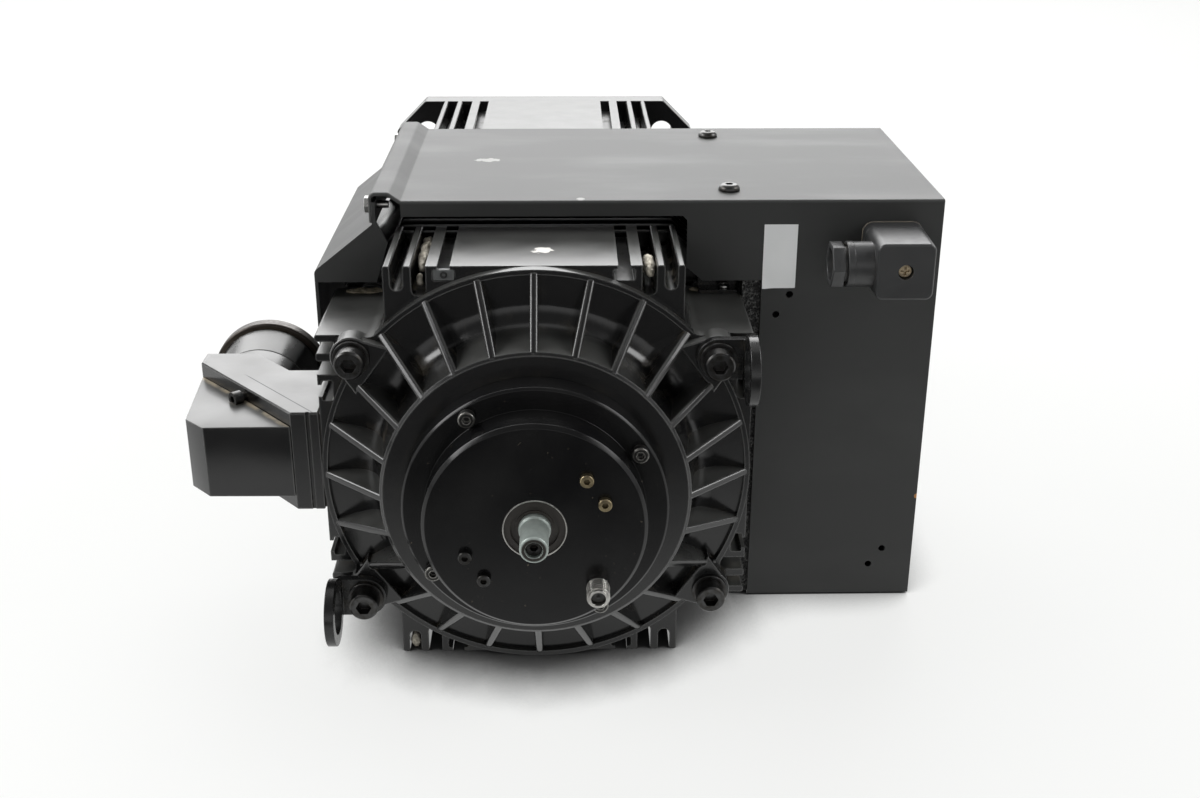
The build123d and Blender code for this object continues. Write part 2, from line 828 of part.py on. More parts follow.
def lifting_lug(side):
    # A strap under the bolt head, bent forwards into a round eye. side is 1 or -1.
    x = side * bolt_x
    z = side * bolt_z
    near = rear_face - ear_depth - lug_thickness
    far = rear_face - ear_depth
    ring_outer = x + side * lug_reach
    ring_inner = ring_outer - side * lug_thickness
    low, high = sorted((ring_inner, ring_outer))
    tab = rod(ear_radius, near, far, x, z)
    left, right = sorted((x, ring_outer))
    tab += box(left, right, near, far, z - ear_radius, z + ear_radius)
    ring_y = far - lug_eye_distance
    ring = rod_x(lug_ring_radius, low, high, ring_y, z)
    bridge = box(low, high, ring_y, far, z - ear_radius, z + ear_radius)
    solid = tab + ring + bridge
    outer_bend = [e for e in solid.edges().filter_by(Axis.Z)
                  if abs(e.center().X - ring_outer) < 0.01 and abs(e.center().Y - far) < 0.01]
    solid = fillet(outer_bend, lug_thickness * 0.9)
    solid -= rod_x(lug_eye_radius, low - 1, high + 1, ring_y, z)
    solid -= rod(tie_bolt_radius + joint_gap, near - 1, far + 1, x, z)
    return solid


# Power connector on the left side
pad_side = -frame_half
housing_side = pad_side - connector_gasket
housing_front = rear_face + connector_front
housing_strip = 12.8
housing_back = rear_face + 84.0
housing_left = -165.0
diagonal_top = (housing_side - housing_strip, housing_front)
diagonal_end = (housing_left, rear_face + 71.5)
housing_outline = [
    (housing_side, housing_front),
    diagonal_top,
    diagonal_end,
    (housing_left, housing_back),
    (receptacle_x + 0.6, housing_back),
    (housing_side - 21.5, rear_face + 61.0),
    (housing_side, rear_face + 61.0),
]
receptacle_start = rear_face + 61.0
receptacle_seam = receptacle_start + 28.0
receptacle_end = receptacle_start + receptacle_length


def diagonal_frame():
    # Origin at the middle of the diagonal face, X along it, Z out of it.
    dx = diagonal_end[0] - diagonal_top[0]
    dy = diagonal_end[1] - diagonal_top[1]
    middle = ((diagonal_top[0] + diagonal_end[0]) / 2, (diagonal_top[1] + diagonal_end[1]) / 2, 0)
    return Plane(origin=middle, x_dir=(dx, dy, 0), z_dir=(-dy, dx, 0))


diagonal_length = hypot(diagonal_end[0] - diagonal_top[0], diagonal_end[1] - diagonal_top[1])
power_screw_height = 19.5
power_flange = 4.0


def power_gasket():
    outline = [
        (pad_side, housing_front + 1), (housing_side, housing_front + 1),
        (housing_side, rear_face + 60), (pad_side, rear_face + 60)]
    reach = connector_half_height - 1
    solid = slab_z(outline, -reach, reach)
    hole = slab_x([
        (housing_front + 9, -14), (rear_face + 52, -14), (rear_face + 52, 14), (housing_front + 9, 14)],
        housing_side - 1, pad_side + 1)
    return solid - hole


def power_housing():
    solid = slab_z(housing_outline, -connector_half_height, connector_half_height)
    solid = chamfer(solid.edges().group_by(Axis.Z)[-1] + solid.edges().group_by(Axis.Z)[0], 0.6)
    frame = diagonal_frame()
    neck = rod(receptacle_radius, receptacle_start, receptacle_seam - 0.6, receptacle_x, 0)
    solid += neck - frame * Pos(0, 0, 50) * Box(300, 100, 100)
    inner = [
        (housing_side + 1, housing_front + 9),
        (housing_side - housing_strip, housing_front + 9),
        (housing_left + 9, rear_face + 70),
        (housing_left + 9, rear_face + 74),
        (housing_side - 26, rear_face + 52),
        (housing_side + 1, rear_face + 52),
    ]
    solid -= slab_z(inner, -14, 14)
    solid -= rod(receptacle_bore_radius - 4, receptacle_start - 6, receptacle_seam + 1, receptacle_x, 0)
    groove_x = housing_side - 4.2
    solid -= box(groove_x - 1.6, groove_x, housing_front - 1, housing_front + 1.2, -30, 30)
    for side in (1, -1):
        solid -= frame * Pos(0, side * power_screw_height, -7) * Cylinder(2.05, 16)
    return solid


def power_cover():
    frame = diagonal_frame()
    half = diagonal_length / 2
    flange_outline = Rectangle(2 * half - 1, 2 * 17.4) + Pos(0, 0) * Rectangle(22, 2 * 22.6)
    flange = extrude(frame * flange_outline, amount=power_flange)
    front_corner = (-151.0, housing_front)
    side_corner = (-161.2, rear_face + 19.4)
    outline = [diagonal_top, front_corner, side_corner, diagonal_end]
    solid = slab_z(outline, -17.4, 17.4)
    middle = frame.origin + frame.z_dir * power_flange
    for side in (1, -1):
        peak = Vector(middle.X, middle.Y, side * 17.4)
        corner = Vector(front_corner[0], front_corner[1], side * 16.0)
        near = Vector(diagonal_top[0], diagonal_top[1], side * 16.6)
        far = Vector(side_corner[0], side_corner[1], side * 15.6)
        back = Vector(diagonal_end[0], diagonal_end[1], side * 16.6)
        solid = cut_above(solid, peak, corner, near, side)
        solid = cut_above(solid, peak, corner, (far + back) / 2, side)
    solid = solid + flange
    for side in (1, -1):
        solid -= frame * Pos(0, side * power_screw_height, power_flange / 2 + 10) * Cylinder(3.9, 20)
        solid -= frame * Pos(0, side * power_screw_height, 0) * Cylinder(2.3, 30)
    return solid


def cut_above(solid, first, second, third, side):
    # Remove what lies outside the plane through three points.
    normal = (second - first).cross(third - first).normalized()
    if normal.Z * side < 0:
        normal = normal * -1
    block = Plane(origin=first, z_dir=normal) * Pos(0, 0, 10) * Box(200, 200, 20)
    return solid - block


def power_cover_screws():
    frame = diagonal_frame()
    screws = []
    for side in (1, -1):
        seat = power_flange / 2
        shank = Pos(0, side * power_screw_height, seat - 5) * Cylinder(2.0, 10)
        head = Pos(0, side * power_screw_height, seat + 2.2) * Cylinder(3.6, 4.4)
        socket = Pos(0, side * power_screw_height, seat + 4.4) * extrude(RegularPolygon(1.8, 6), amount=-2.4)
        screws.append(frame * (shank + head - socket))
    return screws


def receptacle_shell():
    start = receptacle_seam
    flare = start + 21.0
    rim = receptacle_end - receptacle_rim_length
    outline = [
        (receptacle_bore_radius, start),
        (receptacle_radius, start),
        (receptacle_radius, start + 1.0),
        (receptacle_radius + 2.6, flare),
        (receptacle_radius + 2.6, rim),
        (receptacle_bore_radius + 2.5, rim),
        (receptacle_bore_radius + 2.5, receptacle_end - 1),
        (receptacle_bore_radius, receptacle_end - 1),
    ]
    return Pos(receptacle_x, 0, 0) * turned(outline)


def receptacle_rim():
    start = receptacle_end - receptacle_rim_length
    outline = [
        (receptacle_bore_radius + 2.7, start + 0.2),
        (receptacle_rim_radius - 0.8, start + 0.2),
        (receptacle_rim_radius, start + 1.0),
        (receptacle_rim_radius, receptacle_end - 0.8),
        (receptacle_rim_radius - 0.8, receptacle_end),
        (receptacle_bore_radius + 2.7, receptacle_end),
    ]
    return Pos(receptacle_x, 0, 0) * turned(outline)


def receptacle_insert():
    start = receptacle_seam - 0.6
    end = start + 9.0
    solid = rod(receptacle_bore_radius - 0.1, start, end, receptacle_x, 0)
    for x, z in pin_places():
        solid -= rod(2.05, start - 1, end + 1, x, z)
    return solid


def pin_places():
    return [(receptacle_x + x, z) for x, z in (polar(pin_circle, 60 * k + 30) for k in range(pin_count))]


def receptacle_pins():
    start = receptacle_seam - 6
    pins = []
    for x, z in pin_places():
        pin = rod(2.0, start, receptacle_seam + 18, x, z)
        pins.append(fillet(pin.edges().sort_by(Axis.Y)[-1], 0.9))
    return pins


# Duct cover, duct side sheet and blower box
def duct_cover():
    top_inside = top_height - sheet
    lip_bottom = top_height - lip_height
    hook_left = cover_left - hook_width
    hook_top = top_height + hook_rise
    # The top plate rises at its left end, hooks over the side sheet and turns down.
    centre = top_height - sheet / 2
    raised = hook_top - sheet / 2
    points = [
        (box_right, centre),
        (cover_left, centre),
        (cover_left - 5.6, raised),
        (hook_left + sheet / 2, raised),
        (hook_left + sheet / 2, hook_top - hook_flange),
    ]
    route = FilletPolyline(*points, radius=2.4)
    plate = trace(route, line_width=sheet)
    solid = extrude(Pos(0, duct_back, 0) * Rot(90, 0, 0) * plate, amount=duct_length, dir=(0, -1, 0))
    lip = box(cover_left, panel_tongue_edge, duct_front, duct_front + sheet, lip_bottom, top_inside)
    step = panel_step_height
    chamfer_x = panel_tongue_edge + 2.2
    front = slab([
        (panel_tongue_edge, top_inside),
        (panel_tongue_edge, lip_bottom),
        (chamfer_x, lip_bottom - 2.2),
        (chamfer_x, step + panel_tongue_chamfer - 1.1),
        (chamfer_x + panel_tongue_chamfer, step),
        (panel_inner_edge, step),
        (panel_inner_edge, box_floor),
        (box_right, box_floor),
        (box_right, top_inside),
    ], duct_front, duct_front + sheet)
    solid = solid + lip + front
    for y in hook_screw_places:
        solid -= rod_x(2.2, hook_left - 1, hook_left + sheet + 1, y, hook_screw_height)
    for x, y in top_screw_places():
        solid -= rod_z(2.2, top_inside - 1, top_height + 1, x, y)
    for x, z in panel_hole_places():
        solid -= rod(1.7, duct_front - 1, duct_front + sheet + 1, x, z)
    solid -= rod(9.0, duct_front - 1, duct_front + sheet + 1, plug_x, plug_z)
    front_top = [e for e in solid.edges().filter_by(Axis.X)
                 if abs(e.center().Y - duct_front) < 0.01 and abs(e.center().Z - top_height) < 0.01]
    return fillet(front_top, sheet * 0.9)


hook_screw_height = top_height - 4.2
hook_screw_places = [duct_front + 11.0, duct_back - 9.0]


def top_screw_places():
    return [(90.0, duct_front + 18.4), (90.0, duct_back - 20.0)]


def panel_hole_places():
    return [(118.1, 65.7), (112.2, 55.8), (172.0, -69.6), (165.7, -78.5)]


def box_back_panel():
    # Back wall, floor and right wall of the box, with flanges spot-welded to the cover.
    inside_top = top_height - sheet
    right_inside = box_right - sheet
    step = panel_step_height
    back = slab([
        (panel_tongue_edge, inside_top),
        (panel_tongue_edge, step + panel_tongue_chamfer),
        (panel_tongue_edge + panel_tongue_chamfer, step),
        (panel_inner_edge, step),
        (panel_inner_edge, box_floor),
        (box_right, box_floor),
        (box_right, inside_top),
    ], duct_back - sheet, duct_back)
    right = box(right_inside, box_right, duct_front + sheet, duct_back, box_floor, inside_top)
    floor = box(panel_inner_edge, box_right, duct_front + sheet, duct_back, box_floor, box_floor + sheet)
    front_flange = box(
        right_inside - box_flange, right_inside, duct_front + sheet, duct_front + 2 * sheet,
        box_floor + sheet, inside_top - sheet)
    floor_flange = box(
        panel_inner_edge + 2, right_inside - box_flange - 2, duct_front + sheet, duct_front + 2 * sheet,
        box_floor + sheet, box_floor + sheet + box_flange)
    top_flange = box(
        right_inside - box_flange, right_inside, duct_front + 3 * sheet, duct_back - sheet,
        inside_top - sheet, inside_top)
    solid = back + right + floor + front_flange + floor_flange + top_flange
    solid -= rod_x(fan_duct_radius - 1, right_inside - 1, box_right + 1, duct_middle, fan_height)
    for y, z in fan_hole_places():
        solid -= rod_x(2.2, right_inside - 1, box_right + 1, y, z)
    return solid


def duct_side_sheet():
    # The left sheet tucks under the hook, slopes down and ends above the power connector.
    hook_left = cover_left - hook_width
    inside_x = hook_left + sheet
    top = top_height + hook_rise - sheet - 3.0
    edge = -duct_side_offset + sheet / 2
    points = [
        (inside_x + sheet / 2, top),
        (inside_x + sheet / 2, top - hook_flange + 3.5),
        (edge, duct_slope_start),
        (edge, duct_side_bottom),
    ]
    plate = trace(FilletPolyline(*points, radius=2.2), line_width=sheet)
    solid = extrude(Pos(0, duct_back, 0) * Rot(90, 0, 0) * plate, amount=duct_length, dir=(0, -1, 0))
    closing = [
        (inside_x + sheet / 2, top - hook_flange + 3.5),
        (edge, duct_slope_start),
        (edge, panel_step_height),
        (-cheek_half - 9.0, panel_step_height),
        (-cheek_half - 3.0, 91.6),
        (-cheek_half - 9.0, top - 7.0),
    ]
    for start in (duct_front, duct_back - sheet):
        solid += slab(closing, start, start + sheet)
    for y in hook_screw_places:
        solid -= rod_x(1.8, hook_left - 1, inside_x + sheet + 2, y, hook_screw_height)
    return solid


def duct_hex_screws():
    outside = cover_left - hook_width
    screws = []
    for y in hook_screw_places:
        shank = rod_x(1.75, outside, outside + 8, y, hook_screw_height)
        corner = 3.5 / cos(radians(30))
        points = [(y + corner * cos(radians(60 * k)), hook_screw_height + corner * sin(radians(60 * k)))
                  for k in range(6)]
        head = slab_x(points, outside - 2.8, outside)
        flange = rod_x(4.0, outside - 0.8, outside, y, hook_screw_height)
        screws.append(shank + head + flange)
    return screws


def button_screws():
    screws = []
    for x, y in top_screw_places():
        head = Pos(x, y, top_height) * Cylinder(5.0, 3.0, align=(Align.CENTER, Align.CENTER, Align.MIN))
        head = fillet(head.edges().sort_by(Axis.Z)[-1], 2.4)
        head -= Pos(x, y, top_height + 1.6) * extrude(RegularPolygon(1.9, 6), amount=3)
        shank = rod_z(2.0, top_height - 8, top_height, x, y)
        screws.append(head + shank)
    return screws


def bracket_places():
    # Where each bracket's web stands, its screw into the cover, and the way it reaches along Y.
    front = (rear_casting_end - 1.0, top_screw_places()[0][1], 1)
    back = (drive_casting_start + 1.0, top_screw_places()[1][1], -1)
    return [front, back]


def bracket_screw_places():
    return [(bracket_left + 12.0, web - reach * 5.5) for web, _, reach in bracket_places()]


def cover_brackets():
    # Z brackets that carry the cover on the castings' corner ledges.
    top = top_height - sheet
    foot = cheek_half
    left = bracket_left
    right = left + bracket_width
    brackets = []
    for web, screw, reach in bracket_places():
        near, far = sorted((web, web - reach * sheet))
        solid = box(left, right, near, far, foot, top)
        near, far = sorted((web, web - reach * 10))
        solid += box(left, right, near, far, foot, foot + sheet)
        near, far = sorted((web - reach * sheet, screw + reach * 7))
        solid += box(left, right, near, far, top - sheet, top)
        brackets.append(solid - rod_z(2.05, top - 3, top + 1, 90, screw))
    return drilled_up(brackets, bracket_screw_places(), 1.6, foot - 1, foot + sheet + 1)


def drilled_up(solids, places, radius, z0, z1):
    result = []
    for solid in solids:
        for x, y in places:
            solid -= rod_z(radius, z0, z1, x, y)
        result.append(solid)
    return result


def bracket_screws():
    seat = cheek_half + sheet
    screws = []
    for x, y in bracket_screw_places():
        head = rod_z(2.8, seat, seat + 1.8, x, y)
        head = fillet(head.edges().sort_by(Axis.Z)[-1], 1.2)
        shank = rod_z(1.45, seat - 4.4, seat, x, y)
        screws.append(head + shank - rod_z(1.0, seat + 1.0, seat + 3, x, y))
    return screws


def foam_seals():
    # Foam strips that close the box against the frame's sides.
    strips = []
    for start in (duct_front + sheet, duct_back - sheet - foam_width):
        strips.append(box(
            frame_half, panel_inner_edge, start, start + foam_width, box_floor + 1, panel_step_height))
    return strips


def fan_hole_places():
    half = fan_hole_pitch / 2
    return [(duct_middle + a * half, fan_height + b * half) for a in (-1, 1) for b in (-1, 1)]


fan_right = box_right - sheet
fan_left = fan_right - fan_depth
fan_spin_axis = (duct_middle, fan_height)


def fan_frame():
    y, z = fan_spin_axis
    half = fan_size / 2
    solid = box(fan_left, fan_right, y - half, y + half, z - half, z + half)
    solid = fillet(solid.edges().filter_by(Axis.X), 6)
    waist = box(fan_left + 5, fan_right - 5, y - half - 1, y + half + 1, z - half - 1, z + half + 1)
    waist -= rod_x(fan_duct_radius + 2.5, fan_left, fan_right, y, z)
    for a, b in fan_hole_places():
        waist -= rod_x(5.5, fan_left, fan_right, a, b)
    solid -= waist
    solid -= rod_x(fan_duct_radius, fan_left - 1, fan_right + 1, y, z)
    for a, b in fan_hole_places():
        solid -= rod_x(2.15, fan_left - 1, fan_right + 1, a, b)
    hub_plate = rod_x(fan_hub_radius - 3, fan_left, fan_left + 3, y, z)
    for k in range(3):
        strut = box(fan_left, fan_left + 3, y, y + fan_duct_radius + 1, z - 3, z + 3)
        hub_plate += Pos(0, y, z) * Rot(120 * k + 30, 0, 0) * Pos(0, -y, -z) * strut
    solid += hub_plate
    solid += rod_x(8, fan_left + 3, fan_right - 12, y, z)
    return solid - rod_x(fan_pin_radius + 0.05, fan_left + 2, fan_right - 11, y, z)


def fan_impeller():
    y, z = fan_spin_axis
    left = fan_left + 4.5
    right = fan_right - 4
    solid = rod_x(fan_hub_radius, left, right, y, z)
    solid = fillet(solid.edges().sort_by(Axis.X)[-1], 3)
    solid -= rod_x(fan_hub_radius - 2.5, left - 1, right - 3, y, z)
    solid += rod_x(fan_pin_radius, fan_left + 6, right - 2, y, z)
    for k in range(fan_blades):
        angle = 360 / fan_blades * k
        inner = Pos(0, 0, fan_hub_radius - 1) * Rot(0, 0, 38) * Rectangle(24, 2.2)
        outer = Pos(0, 0, fan_tip_radius) * Rot(0, 0, 62) * Rectangle(28, 1.6)
        blade = loft([inner, outer])
        middle = Pos((left + right) / 2, y, z)
        solid += middle * Rot(angle, 0, 0) * blade
    swept = rod_x(fan_tip_radius + 0.5, fan_left + 4, right, y, z)
    return solid & swept


def fan_guard():
    y, z = fan_spin_axis
    centre = Pos(box_right, y, z)
    rings = [rod_x(radius + guard_wire, box_right + 1.4, box_right + 3.6, y, z)
             - rod_x(radius - guard_wire, box_right + 1, box_right + 4, y, z)
             for radius in range(14, 60, 9)]
    solid = rings[0]
    for ring in rings[1:]:
        solid += ring
    for y_hole, z_hole in fan_hole_places():
        angle = degrees(atan2(z_hole - z, y_hole - y))
        spoke = rod(1.0, 13, fan_hole_pitch / 2 * 1.414 - 3.9)
        solid += centre * Pos(1.0, 0, 0) * Rot(angle, 0, 0) * spoke
        solid += rod_x(4.6, box_right, box_right + 1.5, y_hole, z_hole)
    for y_hole, z_hole in fan_hole_places():
        solid -= rod_x(2.2, box_right - 1, box_right + 4, y_hole, z_hole)
    return solid


def fan_lead():
    # The lead from the plug's socket to the fan's frame.
    y = duct_middle
    start = (plug_x, duct_front + sheet + 8, plug_z)
    corner = (plug_x, y, plug_z)
    end = (plug_x, y, fan_height + fan_size / 2)
    route = FilletPolyline(start, corner, end, radius=12)
    return sweep(Plane(origin=start, z_dir=(0, 1, 0)) * Circle(2.4), path=route)


def fan_screws():
    screws = []
    for y, z in fan_hole_places():
        shank = rod_x(2.0, fan_left + 2, box_right + 1.5, y, z)
        head = rod_x(3.8, box_right + 1.5, box_right + 3.6, y, z)
        head = fillet(head.edges().sort_by(Axis.X)[-1], 1.6)
        screws.append(shank + head)
    return screws


# Blower supply plug on the front panel
plug_face = duct_front
base_start = plug_face - plug_gasket - plug_base_depth


def rounded_square(size, radius, x, y, z):
    face = fillet(Rectangle(size, size).vertices(), radius)
    return Pos(x, y, z) * Rot(90, 0, 0) * face


def plug_gasket_ring():
    y0 = plug_face - plug_gasket
    face = rounded_square(plug_size, 5.0, plug_x, plug_face, plug_z)
    return extrude(face, amount=plug_gasket, dir=(0, -1, 0)) - rod(8.8, y0 - 1, plug_face + 1, plug_x, plug_z)


def plug_socket():
    y1 = plug_face - plug_gasket
    face = rounded_square(plug_size - 0.6, 4.6, plug_x, y1, plug_z)
    solid = extrude(face, amount=plug_base_depth, dir=(0, -1, 0))
    solid += rod(8.6, y1, plug_face + sheet + 8, plug_x, plug_z)
    return solid - rod(5, y1 + 2, plug_face + sheet + 9, plug_x, plug_z)


def plug_housing():
    back = base_start
    front = plug_face - plug_depth
    outer = rounded_square(plug_size - 1.0, 4.0, plug_x, back, plug_z)
    face = rounded_square(plug_size - 2.2, 3.4, plug_x, front, plug_z)
    solid = loft([outer, face])
    solid = fillet(solid.faces().sort_by(Axis.Y)[0].outer_wire().edges(), 1.2)
    axis_y = back - 13.0
    solid += rod_x(gland_radius, plug_x - 21.8, plug_x, axis_y, plug_z)
    collar_end = plug_x - 21.8
    solid += rod_x(gland_radius - 2.2, collar_end - 5, collar_end, axis_y, plug_z)
    solid -= rod_x(gland_bore_radius + 1, collar_end - 6, plug_x - 13, axis_y, plug_z)
    return solid - rod(3.4, front - 1, front + 5, plug_x, plug_z)


def plug_axis():
    return base_start - 13.0


def gland_nut():
    inner_end = plug_x - 21.8 - 1.6
    outer_end = plug_x - gland_reach
    y = plug_axis()
    corner = gland_nut_flats / 2 / cos(radians(30))
    points = [(y + corner * cos(radians(60 * k + 30)), plug_z + corner * sin(radians(60 * k + 30)))
              for k in range(6)]
    solid = slab_x(points, outer_end, inner_end)
    solid &= rod_x(corner - 0.5, outer_end, inner_end, y, plug_z)
    solid -= rod_x(gland_radius - 2.1, outer_end + 2.6, inner_end + 1, y, plug_z)
    return solid - rod_x(gland_bore_radius, outer_end - 1, inner_end + 1, y, plug_z)


def gland_seal():
    start = plug_x - gland_reach + 2.7
    return rod_x(7.9, start, start + 2.2, plug_axis(), plug_z) - rod_x(
        gland_bore_radius + 0.1, start - 1, start + 3, plug_axis(), plug_z)


def plug_screw():
    front = plug_face - plug_depth
    solid = rod(3.0, front + 2.2, front + 5, plug_x, plug_z)
    cross = box(plug_x - 2, plug_x + 2, front + 2, front + 3.6, plug_z - 0.5, plug_z + 0.5)
    cross += box(plug_x - 0.5, plug_x + 0.5, front + 2, front + 3.6, plug_z - 2, plug_z + 2)
    return solid - cross


def supply_label():
    # A blank foil label on the front panel.
    return box(104.9, 120.4, duct_front - 0.2, duct_front, 68.9, 99.6)


save("drive_end_casting", drive_end_casting())
save("stator_frame", stator_frame())
save("rear_casting", rear_casting())
save("rear_end_bell", rear_end_bell())
save("rear_cover", rear_cover())
save("cover_screws", *cover_screws())
save("sensor_screws_brass", *sensor_screws(0))
save("sensor_screws_black", *sensor_screws(1))
save("sensor_heads", *sensor_heads())
save("sensor_wheel", sensor_wheel())
save("sensor_connector", sensor_connector())
save("sensor_connector_insert", sensor_connector_insert())
save("rear_shaft_seal", rear_shaft_seal())
save("drive_shaft_seal", drive_shaft_seal())
save("motor_shaft", motor_shaft())
save("stub_end_screw", stub_end_screw())
save("rotor_core", rotor_core())
save("rotor_cage", rotor_cage())
save("stator_core", stator_core())
save("stator_windings", stator_windings())
save("drive_bearing_outer_ring", drive_bearing.outer_ring())
save("drive_bearing_inner_ring", drive_bearing.inner_ring())
save("drive_bearing_cage_and_balls", *drive_bearing.cage_and_balls())
save("rear_bearing_outer_ring", rear_bearing.outer_ring())
save("rear_bearing_inner_ring", rear_bearing.inner_ring())
save("rear_bearing_cage_and_balls", *rear_bearing.cage_and_balls())
save("wave_spring", wave_spring())
save("inner_bearing_cap", inner_bearing_cap())
save("inner_cap_screws", *inner_cap_screws())
save("tie_bolts", *tie_bolts())
save("tie_bolt_washers", *tie_bolt_washers())
save("lifting_lugs", lifting_lug(1), lifting_lug(-1))
save("power_gasket", power_gasket())
save("power_housing", power_housing())
save("power_cover", power_cover())
save("power_cover_screws", *power_cover_screws())
save("receptacle_shell", receptacle_shell())
save("receptacle_rim", receptacle_rim())
save("receptacle_insert", receptacle_insert())
save("receptacle_pins", *receptacle_pins())
save("duct_cover", duct_cover())
save("duct_side_sheet", duct_side_sheet())
save("box_back_panel", box_back_panel())
save("duct_hex_screws", *duct_hex_screws())
save("button_screws", *button_screws())
save("cover_brackets", *cover_brackets())
save("bracket_screws", *bracket_screws())
save("foam_seals", *foam_seals())
save("fan_frame", fan_frame())
save("fan_impeller", fan_impeller())
save("fan_guard", fan_guard())
save("fan_screws", *fan_screws())
save("fan_lead", fan_lead())
save("plug_gasket", plug_gasket_ring())
save("plug_socket", plug_socket())
save("plug_housing", plug_housing())
save("gland_nut", gland_nut())
save("gland_seal", gland_seal())
save("plug_screw", plug_screw())
save("supply_label", supply_label())
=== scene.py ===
# %% [markdown]
# # Dressing an induction motor
#
# The motor's solids come packed from the CAD file, in metres, with the shaft along Y and the drive flange's
# face at y = 0. The solids stay as they are. This lesson gives them rounded edges and finishes, adds the small
# things that only show close up, and sets a camera and lights like those of a plain product photograph.

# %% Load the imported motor
import json
from math import cos, pi, radians, sin

import bpy
from mathutils import Matrix, Vector


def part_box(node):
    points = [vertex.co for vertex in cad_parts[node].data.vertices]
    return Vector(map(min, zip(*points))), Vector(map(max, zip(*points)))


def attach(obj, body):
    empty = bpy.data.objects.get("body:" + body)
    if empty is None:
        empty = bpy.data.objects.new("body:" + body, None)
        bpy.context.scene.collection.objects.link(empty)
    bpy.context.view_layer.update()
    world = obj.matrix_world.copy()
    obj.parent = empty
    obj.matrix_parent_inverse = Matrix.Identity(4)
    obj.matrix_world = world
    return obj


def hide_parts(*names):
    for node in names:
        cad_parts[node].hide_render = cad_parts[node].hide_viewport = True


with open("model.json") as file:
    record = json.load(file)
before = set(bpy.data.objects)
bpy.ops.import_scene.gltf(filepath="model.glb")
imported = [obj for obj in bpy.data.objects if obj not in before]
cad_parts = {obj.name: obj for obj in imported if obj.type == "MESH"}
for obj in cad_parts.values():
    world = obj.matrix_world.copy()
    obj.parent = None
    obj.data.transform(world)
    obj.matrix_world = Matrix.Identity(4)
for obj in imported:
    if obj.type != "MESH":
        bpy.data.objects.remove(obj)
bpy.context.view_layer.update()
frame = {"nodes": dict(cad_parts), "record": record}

nodes = frame["nodes"]
slot_of = {part["node"]: part["material_slot"] for part in frame["record"]["subparts"]}
millimetre = 0.001

# %% [markdown]
# ## Camera
#
# The photographer stood behind the motor, almost on its axis, and looked down by 23 degrees. A long edge of the
# frame, the circles of the end bell and the box corners together fix the place and the focal length. The camera
# is built from its own three axes, so no tracking constraint is needed.

# %% Place the camera
camera_place = Vector((0.014586, -0.95965, 0.28619))
look_down = radians(22.963)
look_right = radians(1.328)
roll = radians(0.155)

forward = Vector((sin(look_right) * cos(look_down), cos(look_right) * cos(look_down), -sin(look_down)))
level_right = Vector((cos(look_right), -sin(look_right), 0))
level_up = level_right.cross(forward)
right = level_right * cos(roll) + level_up * sin(roll)
up = level_up * cos(roll) - level_right * sin(roll)

camera_data = bpy.data.cameras.new("camera")
camera_data.sensor_width = 36
camera_data.lens = 43.665
camera_data.clip_start = 0.01
camera = bpy.data.objects.new("camera", camera_data)
bpy.context.scene.collection.objects.link(camera)
turn = Matrix((right, up, -forward)).transposed()
camera.matrix_world = Matrix.Translation(camera_place) @ turn.to_4x4()
bpy.context.scene.camera = camera
bpy.context.scene.view_settings.view_transform = "Standard"
print("camera looks along", forward)

# %% [markdown]
# ## Nodes of a material
#
# A finish is a small graph: patterns feed the colour, the roughness and the bump of one surface shader. Two
# helpers keep such graphs short. One makes the material, the other adds a node and either types a number into
# a socket or plugs another node's output into it.


# %% Helpers for materials
def new_material(name):
    material = bpy.data.materials.new(name)
    material.use_nodes = True
    return material


def set_socket(material, socket, value):
    """Plugs a node's output into the socket, or types the number or colour in."""
    if isinstance(value, bpy.types.NodeSocket):
        material.node_tree.links.new(value, socket)
    elif isinstance(value, tuple) and len(value) == 3 and socket.type == "RGBA":
        socket.default_value = (*value, 1)
    else:
        socket.default_value = value


def add_node(material, kind, sockets=None, **settings):
    """Adds one node. Its settings are its own properties, its sockets are named or numbered inputs."""
    node = material.node_tree.nodes.new("ShaderNode" + kind)
    for setting, value in settings.items():
        setattr(node, setting, value)
    for key, value in (sockets or {}).items():
        set_socket(material, node.inputs[key], value)
    return node


def surface(material, **values):
    """Sets the sockets of the material's surface shader by their names."""
    shader = material.node_tree.nodes["Principled BSDF"]
    for name, value in values.items():
        set_socket(material, shader.inputs[name.replace("_", " ").title().replace("Ior", "IOR")], value)
    return shader


def position(material, stretch=(1, 1, 1)):
    """The point on the object in metres, stretched where a pattern is longer one way."""
    place = add_node(material, "TexCoord").outputs["Object"]
    if stretch == (1, 1, 1):
        return place
    return add_node(material, "Mapping", {"Vector": place, "Scale": stretch}).outputs[0]


def noise(material, size_mm, detail=4, stretch=(1, 1, 1)):
    """A cloudy pattern whose blobs are about so many millimetres across."""
    node = add_node(material, "TexNoise", {
        "Vector": position(material, stretch), "Scale": 1000 / size_mm, "Detail": detail})
    return node.outputs["Fac"]


def between(material, value, low, high, to_low=0.0, to_high=1.0):
    """Maps a value from low..high to to_low..to_high and holds it there."""
    return add_node(material, "MapRange", {
        "Value": value, "From Min": low, "From Max": high, "To Min": to_low, "To Max": to_high}).outputs[0]


def times(material, first, second):
    return add_node(material, "Math", {0: first, 1: second}, operation="MULTIPLY").outputs[0]


def larger(material, first, second):
    return add_node(material, "Math", {0: first, 1: second}, operation="MAXIMUM").outputs[0]


def mixed(material, mask, first, second):
    """The first colour where the mask is 0 and the second where it is 1."""
    node = add_node(material, "Mix", {0: mask, 6: first, 7: second}, data_type="RGBA")
    return node.outputs[2]


